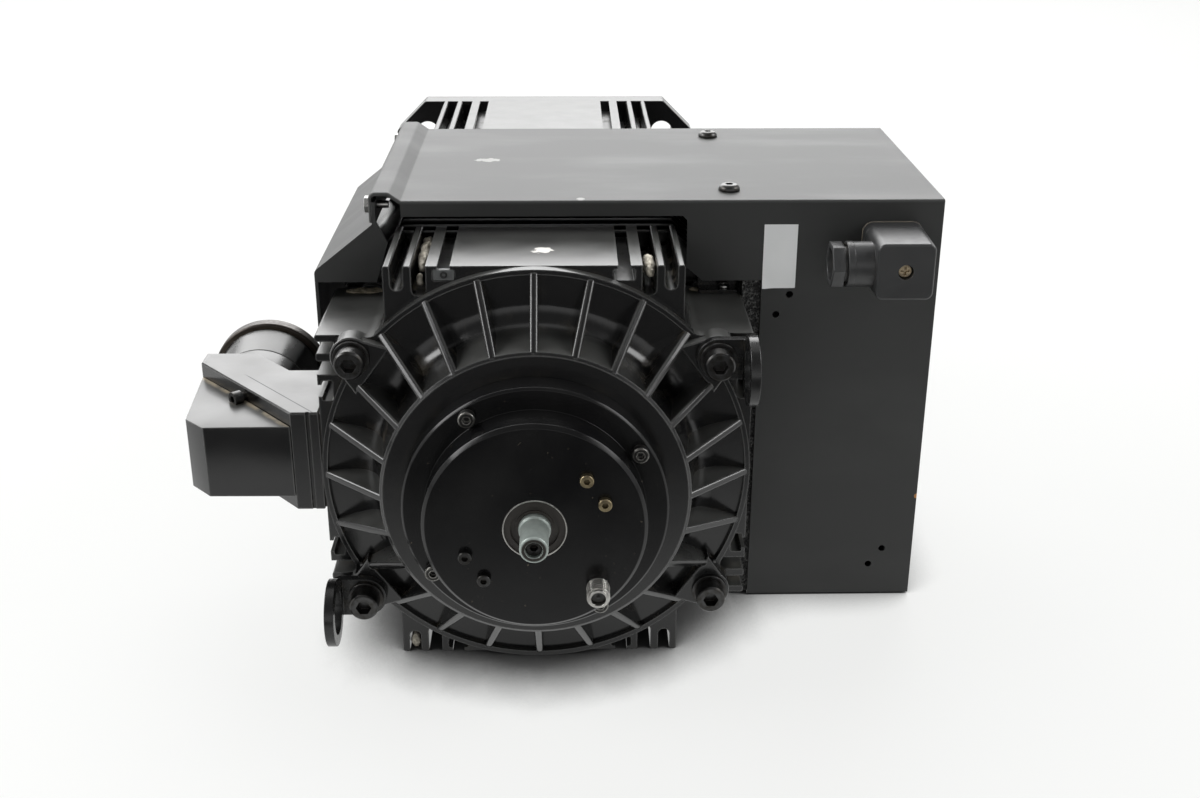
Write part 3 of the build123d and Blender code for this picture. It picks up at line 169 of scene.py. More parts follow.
def bumped(material, height, depth_mm, strength=1.0, under=None):
    """A bump whose full height is so many millimetres."""
    sockets = {"Height": height, "Distance": depth_mm * millimetre, "Strength": strength}
    if under:
        sockets["Normal"] = under
    return add_node(material, "Bump", sockets).outputs[0]


print("helpers ready")

# %% [markdown]
# ## Dirt, marks and worn edges
#
# Dust gathers where air stands still: in inner corners and on faces that look up. Paint chips where
# something knocks: on outer edges. Ambient occlusion finds the corners, and the Bevel node finds the edges,
# because its rounded normal leans away from the true one there. A single mark, such as a scuff on the lid, is
# a soft ball round one point, broken up by noise.


# %% Helpers for dirt and wear
def corners(material, reach_mm):
    """1 deep in an inner corner, 0 in the open."""
    node = add_node(material, "AmbientOcclusion", {"Distance": reach_mm * millimetre}, samples=6)
    return between(material, node.outputs["AO"], 0.75, 0.25)


def looks_up(material, low=0.2, high=0.9):
    """1 on faces that look up, 0 on the others."""
    normal = add_node(material, "NewGeometry").outputs["Normal"]
    height = add_node(material, "SeparateXYZ", {0: normal}).outputs["Z"]
    return between(material, height, low, high)


def worn_edges(material, width_mm):
    """1 along sharp outer edges that noise leaves bare."""
    rounded = add_node(material, "Bevel", {"Radius": width_mm * millimetre}, samples=4).outputs[0]
    true_normal = add_node(material, "NewGeometry").outputs["Normal"]
    lean = add_node(material, "VectorMath", {0: rounded, 1: true_normal}, operation="DOT_PRODUCT").outputs["Value"]
    edge = between(material, lean, 0.98, 0.85)
    return times(material, edge, between(material, noise(material, 6), 0.56, 0.62))


def mark(material, place, size, grain_mm=2.0):
    """A rough spot of that size in metres round one point."""
    shift = add_node(material, "VectorMath", {0: position(material), 1: place}, operation="SUBTRACT").outputs[0]
    scaled = add_node(material, "VectorMath", {0: shift, 1: size}, operation="DIVIDE").outputs[0]
    distance = add_node(material, "VectorMath", {0: scaled}, operation="LENGTH").outputs["Value"]
    ragged = add_node(material, "Math", {0: distance, 1: noise(material, grain_mm, 5)}, operation="ADD").outputs[0]
    return between(material, ragged, 1.12, 1.0)


print("dirt helpers ready")

# %% [markdown]
# ## Black enamel on castings
#
# The body, the end bell and the power connector are cast aluminium under thick gloss enamel. Enamel flows before
# it dries, so its surface is smooth but gently wavy, and grey dust stays in the corners where ribs meet the hub.
# Outer edges carry a painted pale highlight, and faces that look up are painted lighter: partly a dust film,
# partly a painted sheen.


# %% Gloss enamel
def painted_edge_highlight(material, width_mm):
    """1 beside outer edges, where a pale highlight is painted."""
    rounded = add_node(material, "Bevel", {"Radius": width_mm * millimetre}, samples=4).outputs[0]
    true_normal = add_node(material, "NewGeometry").outputs["Normal"]
    lean = add_node(material, "VectorMath", {0: rounded, 1: true_normal}, operation="DOT_PRODUCT").outputs["Value"]
    space = add_node(material, "AmbientOcclusion", {"Distance": 3 * millimetre}, samples=6).outputs["AO"]
    return times(material, between(material, lean, 0.997, 0.96), between(material, space, 0.7, 0.85))


def gloss_enamel(name="gloss_enamel", reach_mm=12, dust=0.5, cover=(0.5, 0.68)):
    enamel = new_material(name)
    patches = between(enamel, noise(enamel, 9, 6), *cover)
    dirt = times(enamel, times(enamel, corners(enamel, reach_mm), patches), looks_up(enamel, -0.1, 0.5))
    paint = mixed(enamel, between(enamel, noise(enamel, 60), 0.3, 0.7), (0.004, 0.004, 0.0044), (0.0075, 0.0075, 0.0075))
    dusty = mixed(enamel, times(enamel, dirt, dust), paint, (0.24, 0.2, 0.135))
    # Faces that look up are painted lighter grey: partly a dust film, partly a painted sheen for the bright look of top
    # faces seen at a low angle.
    dust_film_and_sheen = times(enamel, looks_up(enamel, 0.7, 0.95), between(enamel, noise(enamel, 14, 6), 0.3, 0.7, 0.6, 1.0))
    # Painted highlight: outer edges are painted pale grey, where thin bright lines of light would run.
    edge_highlighted = mixed(enamel, times(enamel, painted_edge_highlight(enamel, 1.0), 0.65), dusty, (0.13, 0.13, 0.127))
    with_dust_film_and_sheen = mixed(enamel, dust_film_and_sheen, edge_highlighted, (0.058, 0.059, 0.056))
    chips = mark(enamel, (0.0036, -0.342, 0.096), (0.008, 0.007, 0.004), 2.5)
    colour = mixed(enamel, chips, with_dust_film_and_sheen, (0.72, 0.7, 0.66))
    roughness = between(enamel, noise(enamel, 25), 0.3, 0.7, 0.15, 0.22)
    filmed = times(enamel, dust_film_and_sheen, 0.36)
    rough = add_node(enamel, "Mix", {
        0: larger(enamel, filmed, larger(enamel, dirt, chips)), 2: roughness, 3: 0.7}).outputs[0]
    waves = bumped(enamel, noise(enamel, 5, 2), 0.03)
    surface(enamel, base_color=colour, roughness=rough, ior=1.52,
            normal=bumped(enamel, noise(enamel, 0.9, 2), 0.004, 0.6, waves))
    return enamel


finishes = {"painted_casting": gloss_enamel()}
print("finishes:", list(finishes))

# %% [markdown]
# ## Satin rear cover
#
# The turned cover at the sensor end has a thinner, smoother satin coat. It is almost a mirror for the floor
# in front of it, and handling has left it slightly cloudy.


# %% Satin cover and painted strip
def satin_cover():
    cover = new_material("satin_cover")
    cloud = between(cover, noise(cover, 30, 5), 0.35, 0.7)
    colour = mixed(cover, cloud, (0.002, 0.002, 0.0024), (0.006, 0.006, 0.006))
    specks = between(cover, noise(cover, 2.2, 3), 0.72, 0.78)
    dusty = mixed(cover, times(cover, specks, 0.35), colour, (0.2, 0.17, 0.12))
    surface(cover, base_color=dusty, roughness=between(cover, cloud, 0, 1, 0.16, 0.26), ior=1.36,
            specular_ior_level=0.5, normal=bumped(cover, noise(cover, 1.2, 2), 0.006))
    return cover


def painted_strip():
    strip = new_material("painted_strip")
    chips = times(strip, worn_edges(strip, 0.5), 0.35)
    dirt = times(strip, corners(strip, 6), between(strip, noise(strip, 4), 0.45, 0.6))
    paint = mixed(strip, times(strip, dirt, 0.4), (0.006, 0.006, 0.006), (0.14, 0.12, 0.09))
    surface(strip, base_color=mixed(strip, chips, paint, (0.3, 0.3, 0.3)), roughness=between(
        strip, noise(strip, 5), 0.3, 0.7, 0.2, 0.32), normal=bumped(strip, noise(strip, 2.5, 3), 0.015))
    return strip


finishes["black_cover"] = satin_cover()
finishes["painted_steel"] = painted_strip()

# %% [markdown]
# ## Powder coat on sheet metal
#
# The duct and the blower box are bent sheet with a matt powder coat. Powder melts into a fine leathery grain,
# which spreads reflections. The lid carries rubbed, cloudy streaks, one white scuff and a smaller white mark,
# and the box has a chip of primer at its right edge.


# %% Powder coat
def powder_coat():
    coat = new_material("powder_coat")
    streaks = noise(coat, 40, 6, (0.5, 1.6, 1))
    rubbed = between(coat, streaks, 0.45, 0.75)
    colour = mixed(coat, rubbed, (0.027, 0.0277, 0.027), (0.034, 0.035, 0.034))
    scuffs = larger(coat, mark(coat, (-0.0254, -0.237, 0.111), (0.011, 0.006, 0.002)), mark(
        coat, (0.0205, -0.312, 0.111), (0.003, 0.004, 0.002), 1.0))
    primer = mark(coat, (0.1869, -0.3155, -0.0403), (0.0014, 0.0014, 0.0022), 1.0)
    marked = mixed(coat, times(coat, scuffs, 0.45), colour, (0.5, 0.5, 0.48))
    chipped = mixed(coat, times(coat, worn_edges(coat, 0.5), 0.3), marked, (0.2, 0.2, 0.195))
    surface(coat, base_color=mixed(coat, primer, chipped, (0.45, 0.2, 0.06)),
            roughness=between(coat, rubbed, 0, 1, 0.54, 0.49), specular_ior_level=0.4,
            normal=bumped(coat, noise(coat, 0.55, 3), 0.03, 0.8))
    return coat


finishes["powder_coated_sheet"] = powder_coat()

# %% [markdown]
# ## Bare and plated metals
#
# Screws, shaft and bearings are bare metal. One function serves them all: a metal colour, a roughness that
# wanders, fine turning lines or scratches, and a colour that darkens towards brown black in the corners and sockets.


# %% Metals
def bare_metal(name, colour, dull, roughness, grain_mm=0.4, stretch=(1, 1, 1), dirt=0.5, metallic=1.0):
    metal = new_material(name)
    tarnish = between(metal, noise(metal, 3, 4), 0.4, 0.65)
    # The colour darkens towards brown black in inner corners and sockets, which ambient occlusion finds; the dirt
    # argument sets how much.
    corner_darkening = times(metal, corners(metal, 2.5), dirt)
    toned = mixed(metal, tarnish, colour, dull)
    lines = noise(metal, grain_mm, 3, stretch)
    surface(metal, base_color=mixed(metal, corner_darkening, toned, (0.03, 0.025, 0.02)), metallic=metallic,
            roughness=between(metal, lines, 0.3, 0.7, roughness * 0.8, roughness * 1.25),
            normal=bumped(metal, lines, 0.008, 0.7))
    return metal


finishes["zinc_screws"] = bare_metal("zinc_plate", (0.55, 0.55, 0.53), (0.4, 0.4, 0.38), 0.3)
finishes["brass_screws"] = bare_metal("old_brass", (0.4, 0.33, 0.2), (0.16, 0.13, 0.085), 0.36, dirt=0.8)
finishes["black_oxide_steel"] = bare_metal("black_oxide", (0.07, 0.07, 0.07), (0.04, 0.038, 0.035), 0.32, dirt=0.7)
finishes["nickel_connector"] = bare_metal("nickel_plate", (0.62, 0.61, 0.58), (0.4, 0.39, 0.37), 0.22)
finishes["machined_steel"] = bare_metal("turned_steel", (0.66, 0.71, 0.68), (0.52, 0.57, 0.54), 0.5, 0.5, (1, 6, 1), metallic=0.55)


def oiled_shaft():
    """Grey-green steel whose bored end face is dark with oil inside a clean rim."""
    shaft = bare_metal("oiled_shaft", (0.37, 0.415, 0.39), (0.32, 0.36, 0.34), 0.5, 0.5, (1, 6, 1), metallic=0.55)
    flat = add_node(shaft, "VectorMath", {0: position(shaft), 1: (1, 0, 1)}, operation="MULTIPLY").outputs[0]
    radius = add_node(shaft, "VectorMath", {0: flat}, operation="LENGTH").outputs["Value"]
    normal = add_node(shaft, "NewGeometry").outputs["Normal"]
    rearward = between(shaft, add_node(shaft, "SeparateXYZ", {0: normal}).outputs["Y"], -0.8, -0.95)
    oil = times(shaft, rearward, between(shaft, radius, 0.0053, 0.0048))
    shader = shaft.node_tree.nodes["Principled BSDF"]
    clean = shader.inputs["Base Color"].links[0].from_socket
    surface(shaft, base_color=mixed(shaft, oil, clean, (0.035, 0.032, 0.028)))
    return shaft


finishes["bearing_steel"] = bare_metal("ground_steel", (0.6, 0.6, 0.6), (0.5, 0.5, 0.5), 0.18)
finishes["lamination_steel"] = bare_metal("stacked_sheet", (0.3, 0.3, 0.32), (0.22, 0.2, 0.2), 0.4, 1.0, (0.05, 4, 0.05))
finishes["cast_aluminium_bars"] = bare_metal("cast_aluminium", (0.7, 0.7, 0.7), (0.6, 0.6, 0.6), 0.45, 1.5)
finishes["winding_copper"] = bare_metal("varnished_copper", (0.5, 0.2, 0.08), (0.35, 0.12, 0.05), 0.3, 1.2, (1, 0.2, 1))


def worn_bronze():
    """Dark bronze anodising, rubbed down to copper red at one side."""
    bronze = new_material("worn_bronze")
    rub = mark(bronze, (-0.1668, -0.2455, 0.0125), (0.005, 0.005, 0.011), 2.0)
    tone = mixed(bronze, noise(bronze, 4, 4), (0.02, 0.016, 0.013), (0.045, 0.036, 0.03))
    dusty = mixed(bronze, times(bronze, corners(bronze, 5), 0.6), tone, (0.16, 0.13, 0.09))
    surface(bronze, base_color=mixed(bronze, rub, dusty, (0.5, 0.2, 0.07)), metallic=0.6,
            roughness=between(bronze, noise(bronze, 2), 0.3, 0.7, 0.28, 0.45),
            normal=bumped(bronze, noise(bronze, 0.6, 2), 0.01))
    return bronze


finishes["bronzed_rim"] = worn_bronze()
print("metals:", len(finishes))

# %% [markdown]
# ## Plastics, rubber, foam and foil
#
# Moulded plastic is darker and smoother than rubber. The open foam beside the box panel is full of pores that
# catch light on their rims, which cells of a Voronoi pattern show. The label is blank grey foil.


# %% Soft and moulded finishes
def moulded(name, colour, roughness, grain_mm, depth_mm, dust_colour=(0.14, 0.125, 0.1), dust=0.35):
    plastic = new_material(name)
    dirt = times(plastic, corners(plastic, 5), between(plastic, noise(plastic, 3, 5), 0.4, 0.62, 0.0, dust))
    surface(plastic, base_color=mixed(plastic, dirt, colour, dust_colour),
            roughness=between(plastic, noise(plastic, 9), 0.3, 0.7, roughness * 0.85, roughness * 1.2),
            normal=bumped(plastic, noise(plastic, grain_mm, 3), depth_mm))
    return plastic


def open_foam():
    foam = new_material("open_foam")
    pores = add_node(foam, "TexVoronoi", {"Vector": position(foam), "Scale": 900}).outputs["Distance"]
    rim = times(foam, between(foam, pores, 0.35, 0.8), between(foam, noise(foam, 2.5), 0.4, 0.65))
    surface(foam, base_color=mixed(foam, rim, (0.01, 0.01, 0.01), (0.16, 0.16, 0.155)), roughness=0.9,
            normal=bumped(foam, pores, 0.9))
    return foam


def blank_foil():
    foil = new_material("blank_foil")
    creases = noise(foil, 12, 3, (1, 1, 0.4))
    surface(foil, base_color=mixed(foil, creases, (0.7, 0.71, 0.71), (0.8, 0.81, 0.81)), metallic=0.1,
            roughness=between(foil, creases, 0.3, 0.7, 0.32, 0.45), normal=bumped(foil, creases, 0.08))
    return foil


def rubbed_black(name):
    """Black oxide that tools and fingers have rubbed bright along the edges."""
    oxide = new_material(name)
    rounded = add_node(oxide, "Bevel", {"Radius": 0.8 * millimetre}, samples=4).outputs[0]
    true_normal = add_node(oxide, "NewGeometry").outputs["Normal"]
    lean = add_node(oxide, "VectorMath", {0: rounded, 1: true_normal}, operation="DOT_PRODUCT").outputs["Value"]
    bright = times(oxide, between(oxide, lean, 0.99, 0.93), between(oxide, noise(oxide, 1.5), 0.35, 0.6, 0.4, 1.0))
    surface(oxide, base_color=mixed(oxide, bright, (0.035, 0.034, 0.033), (0.55, 0.54, 0.5)), metallic=0.9,
            roughness=between(oxide, noise(oxide, 0.7), 0.3, 0.7, 0.28, 0.42))
    return oxide


def edged_rubber():
    """A flat black gasket whose cut edge shows as a tan line."""
    gasket = new_material("edged_rubber")
    rounded = add_node(gasket, "Bevel", {"Radius": 0.5 * millimetre}, samples=4).outputs[0]
    true_normal = add_node(gasket, "NewGeometry").outputs["Normal"]
    lean = add_node(gasket, "VectorMath", {0: rounded, 1: true_normal}, operation="DOT_PRODUCT").outputs["Value"]
    edge = between(gasket, lean, 0.99, 0.9)
    surface(gasket, base_color=mixed(gasket, edge, (0.03, 0.028, 0.025), (0.42, 0.36, 0.27)),
            roughness=between(gasket, noise(gasket, 3), 0.3, 0.7, 0.45, 0.65),
            normal=bumped(gasket, noise(gasket, 1.0, 3), 0.02))
    return gasket


finishes["black_plastic"] = moulded("black_plastic", (0.027, 0.0275, 0.028), 0.38, 0.8, 0.012)
finishes["seal_rubber"] = moulded("seal_rubber", (0.02, 0.016, 0.013), 0.55, 1.2, 0.03)
finishes["cable_sheath"] = moulded("cable_sheath", (0.015, 0.015, 0.015), 0.5, 1.0, 0.02)
finishes["foam"] = open_foam()
finishes["blank_label"] = blank_foil()
print("finishes:", len(finishes))

# %% [markdown]
# ## Rounded edges and finishes for the solids
#
# Real castings and bent sheets have no knife edges, and it is the small rounding that catches a thin line of
# light. Three live modifiers give it: Weld joins the loose triangles, Decimate clears the lines across flat
# faces, and Bevel rounds what is still sharp. A weighted normal keeps flat faces flat.

# %% Dress every CAD node
edge_radius = {
    "painted_casting": 0.8, "black_cover": 0.5, "painted_steel": 0.5, "powder_coated_sheet": 0.4,
    "black_plastic": 0.4, "black_oxide_steel": 0.25, "zinc_screws": 0.2, "brass_screws": 0.2,
    "nickel_connector": 0.15, "machined_steel": 0.3, "bronzed_rim": 0.4,
}
own_radius = {
    "rear_end_bell": 1.1, "fan_guard": 0.2, "plug_housing": 0.5, "sensor_wheel": 0.1, "stator_frame": 0.3,
    "power_housing": 0.3, "rear_cover": 1.0, "plug_gasket": 0.3,
}
own_finish = {
    "motor_shaft": oiled_shaft(),
    "cover_screws": rubbed_black("rubbed_black"),
    "sensor_screws_black": finishes["black_oxide_steel"],
    "plug_screw": bare_metal("yellow_zinc", (0.8, 0.66, 0.45), (0.5, 0.4, 0.27), 0.3),
    "plug_gasket": edged_rubber(),
}


def round_edges(node, radius_mm):
    weld = node.modifiers.new("join triangles", "WELD")
    weld.merge_threshold = 1e-6
    clear = node.modifiers.new("clear flat faces", "DECIMATE")
    clear.decimate_type = "DISSOLVE"
    clear.angle_limit = radians(0.4)
    bevel = node.modifiers.new("round edges", "BEVEL")
    bevel.width = radius_mm * millimetre
    bevel.segments = 3
    bevel.limit_method = "ANGLE"
    bevel.angle_limit = radians(34)
    bevel.miter_outer = "MITER_ARC"
    flat = node.modifiers.new("keep flat faces flat", "WEIGHTED_NORMAL")
    flat.weight = 80


for name, node in nodes.items():
    slot = slot_of[name]
    node.data.materials.clear()
    node.data.materials.append(own_finish.get(name, finishes[slot]))
    node.data.polygons.foreach_set("use_smooth", [True] * len(node.data.polygons))
    radius = own_radius.get(name, edge_radius.get(slot))
    if radius:
        round_edges(node, radius)
print("dressed", len(nodes), "nodes")

# %% [markdown]
# ## Modelling small pieces by hand
#
# The small pieces below start from a primitive of the right size, and are then cut and pulled into shape in edit
# mode. Two helpers keep that short. One deselects everything before a primitive is added, because operators act
# on all that is selected. The other puts the finished piece's place into its mesh, dresses it and lets it ride.


# %% Helpers for modelling
def start_clean():
    bpy.ops.object.select_all(action="DESELECT")


def apply_modifier(piece, kind, **settings):
    """Adds a modifier, sets it and applies it at once."""
    modifier = piece.modifiers.new(kind.lower(), kind)
    for setting, value in settings.items():
        setattr(modifier, setting, value)
    bpy.context.view_layer.objects.active = piece
    bpy.ops.object.modifier_apply(modifier=modifier.name)


def finish_piece(piece, name, material, smooth_angle=40):
    """Puts the place into the mesh, then names, dresses and hangs the piece on the motor."""
    start_clean()
    piece.select_set(True)
    bpy.context.view_layer.objects.active = piece
    bpy.ops.object.transform_apply(location=True, rotation=True, scale=True)
    bpy.ops.object.shade_smooth_by_angle(angle=radians(smooth_angle))
    piece.name = name
    piece.data.name = name
    piece.data.materials.clear()
    piece.data.materials.append(material)
    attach(piece, "motor_body")
    sides_of_edge = {}
    for face in piece.data.polygons:
        for edge in face.edge_keys:
            sides_of_edge[edge] = sides_of_edge.get(edge, 0) + 1
    open_edges = sum(1 for count in sides_of_edge.values() if count != 2)
    print(name, "has", len(piece.data.polygons), "faces and", open_edges, "open edges")
    return piece


def block(low, high):
    """A box between two corners in millimetres."""
    start_clean()
    middle = [(a + b) / 2 * millimetre for a, b in zip(low, high)]
    size = [(b - a) * millimetre for a, b in zip(low, high)]
    bpy.ops.mesh.primitive_cube_add(size=1, location=middle, scale=size)
    bpy.ops.object.transform_apply(location=True, scale=True)
    return bpy.context.object


def saw(piece, point, outward):
    """Saws off what lies beyond a plane and closes the cut. The point is in millimetres."""
    start_clean()
    piece.select_set(True)
    bpy.context.view_layer.objects.active = piece
    bpy.ops.object.mode_set(mode="EDIT")
    bpy.ops.mesh.select_all(action="SELECT")
    bpy.ops.mesh.bisect(plane_co=Vector(point) * millimetre, plane_no=outward, use_fill=True, clear_outer=True)
    bpy.ops.object.mode_set(mode="OBJECT")


def plane_through(first, second, third, side):
    """The unit normal of three points that leans to the given side, up or down."""
    normal = (Vector(second) - Vector(first)).cross(Vector(third) - Vector(first)).normalized()
    return normal if normal.z * side > 0 else -normal


print("modelling helpers ready")

# %% [markdown]
# ## Cover of the power connector
#
# The cover closes the connector's slanted side. Its top and bottom are folded: a ridge runs from the screw to
# the front corner, and both facets fall away from it. A sawn block gives such flat facets exactly, one plane
# after the other, and a narrow bevel then catches the light along every edge, as thick paint does.

# %% Saw the cover from a block
near_end = (-111.6, -355.8, 17.6)
far_end = (-165.0, -293.1, 17.0)
front_corner = (-151.0, -355.8, 17.36)
side_corner = (-161.2, -345.2, 17.0)
ridge_start = (-136.7, -326.3, 18.0)

power_cover = block((-172, -355.8, -19), (-108, -290, 19))
slant = Vector((far_end[0] - near_end[0], far_end[1] - near_end[1], 0)).normalized()
saw(power_cover, near_end, (slant.y, -slant.x, 0))
saw(power_cover, front_corner, (-0.7206, -0.6934, 0))
saw(power_cover, side_corner, (-0.9973, -0.0727, 0))
for side in (1, -1):
    ridge, front, near, left, far = (
        (x, y, side * z) for x, y, z in (ridge_start, front_corner, near_end, side_corner, far_end))
    saw(power_cover, ridge, plane_through(ridge, front, near, side))
    saw(power_cover, ridge, plane_through(ridge, front, left, side))
apply_modifier(power_cover, "BEVEL", width=0.35 * millimetre, segments=3, angle_limit=radians(3))


def beyond_step(material):
    """How far a point lies outside the connector's slanted step, in metres."""
    outward = Vector((-slant.y, slant.x, 0))
    reach = add_node(material, "VectorMath", {
        0: position(material), 1: outward}, operation="DOT_PRODUCT").outputs["Value"]
    step = Vector(near_end).dot(outward) * millimetre
    return add_node(material, "Math", {0: reach, 1: step}, operation="SUBTRACT").outputs[0]


def drifted_enamel():
    """Enamel with tan dust along the foot of the connector's slanted step."""
    enamel = gloss_enamel("drifted_enamel", 7, 0.9, (0.35, 0.5))
    beside = between(enamel, beyond_step(enamel), 0.0032, 0.0012)
    drift = times(enamel, times(enamel, beside, looks_up(enamel, 0.7, 0.95)), between(
        enamel, noise(enamel, 6, 5), 0.35, 0.55))
    shader = enamel.node_tree.nodes["Principled BSDF"]
    clean = shader.inputs["Base Color"].links[0].from_socket
    surface(enamel, base_color=mixed(enamel, drift, clean, (0.34, 0.29, 0.21)))
    return enamel


def seamed_enamel():
    """Enamel with a hairline across the housing's top, along the slanted step and 8 mm inside it."""
    enamel = gloss_enamel("seamed_enamel")
    off_line = add_node(enamel, "Math", {0: beyond_step(enamel), 1: 0.0083}, operation="ADD").outputs[0]
    distance = add_node(enamel, "Math", {0: off_line}, operation="ABSOLUTE").outputs[0]
    along = add_node(enamel, "SeparateXYZ", {0: position(enamel)}).outputs["Y"]
    seam = times(enamel, between(enamel, distance, 0.0004, 0.00015), between(enamel, along, -0.308, -0.312))
    seam = times(enamel, seam, looks_up(enamel, 0.9, 0.99))
    shader = enamel.node_tree.nodes["Principled BSDF"]
    clean = shader.inputs["Base Color"].links[0].from_socket
    surface(enamel, base_color=mixed(enamel, seam, clean, (0.004, 0.004, 0.004)),
            specular_ior_level=between(enamel, seam, 0, 1, 0.5, 0.1))
    return enamel


finish_piece(power_cover, "power_cover_folded", drifted_enamel(), 20)
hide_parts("power_cover")
nodes["power_housing"].data.materials[0] = seamed_enamel()

# %% [markdown]
# ## Plate behind the hook
#
# Under the duct's hooked corner a smooth painted plate closes the gap between the duct and the cooling fins. It
# shows through the open end of the hook as one calm grey slope. A thin block with square ends is turned by
# 45 degrees and its edges are rounded a little.

# %% Corner plate
corner_plate = block((-18, -299.4, -0.6), (18, -181, 0.6))
corner_plate.rotation_euler = (0, radians(-45), 0)
corner_plate.location = (-78.8 * millimetre, 0, 78.8 * millimetre)
apply_modifier(corner_plate, "BEVEL", width=0.3 * millimetre, segments=2)
finish_piece(corner_plate, "corner_plate", finishes["painted_casting"])

# %% [markdown]
# ## Sealant crumbs
#
# Putty was pressed into some gaps of the rear casting and has dried to pale, crumbly lumps. A ball squeezed into
# the gap and pushed about by a cloud texture gives such a lump, and reading the texture at its real place makes
# each one different.


# %% Pale putty and its lumps
def dry_putty(name, dark, pale):
    putty = new_material(name)
    tone = mixed(putty, between(putty, noise(putty, 2, 5), 0.35, 0.65), dark, pale)
    # The colour turns darker brown in inner corners, which ambient occlusion finds.
    corner_darkening = times(putty, corners(putty, 3), 0.6)
    surface(putty, base_color=mixed(putty, corner_darkening, tone, (0.12, 0.1, 0.08)), roughness=0.85,
            normal=bumped(putty, noise(putty, 0.8, 5), 0.25))
    return putty


putty_finish = dry_putty("dry_putty", (0.34, 0.31, 0.25), (0.66, 0.62, 0.53))
dust_finish = dry_putty("caked_dust", (0.3, 0.26, 0.18), (0.62, 0.55, 0.42))
cloud = bpy.data.textures.new("putty_cloud", "CLOUDS")
cloud.noise_scale = 0.0035
cloud.noise_depth = 3


def putty_lump(name, middle, size, crumble_mm=2.2, material=putty_finish):
    start_clean()
    bpy.ops.mesh.primitive_ico_sphere_add(
        subdivisions=5, radius=0.5, location=Vector(middle) * millimetre, scale=Vector(size) * millimetre)
    lump = bpy.context.object
    bpy.ops.object.transform_apply(location=True, scale=True)
    apply_modifier(lump, "DISPLACE", texture=cloud, texture_coords="LOCAL", strength=crumble_mm * millimetre, mid_level=0.5)
    return finish_piece(lump, name, material, 60)


putty_lump("putty_left_gap", (-49.5, -327, 90.0), (5.2, 50, 6.5), 3.4)
putty_lump("putty_left_gap_end", (-49.8, -355.5, 87.0), (2.8, 4.5, 4.6), 2.8)
putty_lump("putty_right_gap", (49.8, -351, 91.3), (5.6, 20, 7.0), 3.2)
putty_lump("putty_foot", (-59.2, -361.5, -90.6), (4.4, 6, 8.4))
putty_lump("dust_left_shelf", (-80.8, -305.4, 65.2), (18, 7.5, 1.6), 1.4, dust_finish)
putty_lump("dust_right_shelf", (80.8, -305.4, 65.2), (18, 6.5, 1.4), 1.2, dust_finish)

# %% [markdown]
# ## End stop of the T-slot
#
# A small grey stop with a screw closes the left T-slot at the rear. The block's corners are rounded, its front
# is inset and pushed in a little, and the screw is a small flat ring.

# %% Slot stop
slot_stop = block((-43.3, -364.4, 89.5), (-34.2, -361.4, 94.1))
bpy.ops.object.mode_set(mode="EDIT")
bpy.ops.mesh.select_all(action="DESELECT")
bpy.ops.object.mode_set(mode="OBJECT")
for face in slot_stop.data.polygons:
    face.select = face.normal.y < -0.9
bpy.ops.object.mode_set(mode="EDIT")
bpy.ops.mesh.select_mode(type="FACE")
bpy.ops.mesh.inset(thickness=0.7 * millimetre)
bpy.ops.transform.translate(value=(0, 0.5 * millimetre, 0))
bpy.ops.object.mode_set(mode="OBJECT")
apply_modifier(slot_stop, "BEVEL", width=0.35 * millimetre, segments=3)
grey_plastic = moulded("grey_plastic", (0.1, 0.105, 0.105), 0.6, 0.8, 0.01)
finish_piece(slot_stop, "slot_stop", grey_plastic)


def ring(name, middle, inner, outer, depth, material, bevel=0.15, sides=64):
    """A flat ring round an axis along Y: a circle pulled outwards, given thickness and rounded."""
    start_clean()
    bpy.ops.mesh.primitive_circle_add(
        vertices=sides, radius=inner * millimetre, location=Vector(middle) * millimetre, rotation=(pi / 2, 0, 0))
    band = bpy.context.object
    bpy.ops.object.transform_apply(location=True, rotation=True)
    bpy.ops.object.mode_set(mode="EDIT")
    bpy.ops.mesh.select_all(action="SELECT")
    bpy.ops.mesh.extrude_edges_move()
    bpy.ops.transform.resize(value=(outer / inner, 1, outer / inner), center_override=Vector(middle) * millimetre)
    bpy.ops.mesh.select_all(action="SELECT")
    bpy.ops.mesh.normals_make_consistent(inside=False)
    bpy.ops.object.mode_set(mode="OBJECT")
    apply_modifier(band, "SOLIDIFY", thickness=depth * millimetre, offset=0)
    apply_modifier(band, "BEVEL", width=bevel * millimetre, segments=2)
    return finish_piece(band, name, material)


ring("slot_stop_screw", (-38.75, -363.9, 91.8), 0.7, 1.6, 0.8, finishes["black_oxide_steel"], 0.2, 24)

# %% [markdown]
# ## Bright edge round the shaft's seal
#
# The bore for the seal was turned after the cover was painted, so a thin bright line runs round it. It is a flat
# ring of bare metal that stands a tenth of a millimetre proud.

# %% Bore edge
ring("bore_edge", (0, -423.02, 0), 12.95, 13.55, 0.3, finishes["nickel_connector"], 0.1, 96)

# %% [markdown]
# ## Plug: nut and collar
#
# The cable gland's nut is short and has six sides, and a round collar with a bright front edge stands between
# it and the plug. A six-sided prism is sawn round at its corners, and an inset pushed in makes the mouth.


# %% Gland nut and collar
def prism_x(sides, radius, start, end, y, z, turn=0.0):
    """An upright prism laid along X between two places in millimetres."""
    start_clean()
    bpy.ops.mesh.primitive_cylinder_add(
        vertices=sides, radius=radius * millimetre, depth=(end - start) * millimetre,
        location=Vector(((start + end) / 2, y, z)) * millimetre, rotation=(turn, pi / 2, 0))
    bpy.ops.object.transform_apply(location=True, rotation=True)
    return bpy.context.object


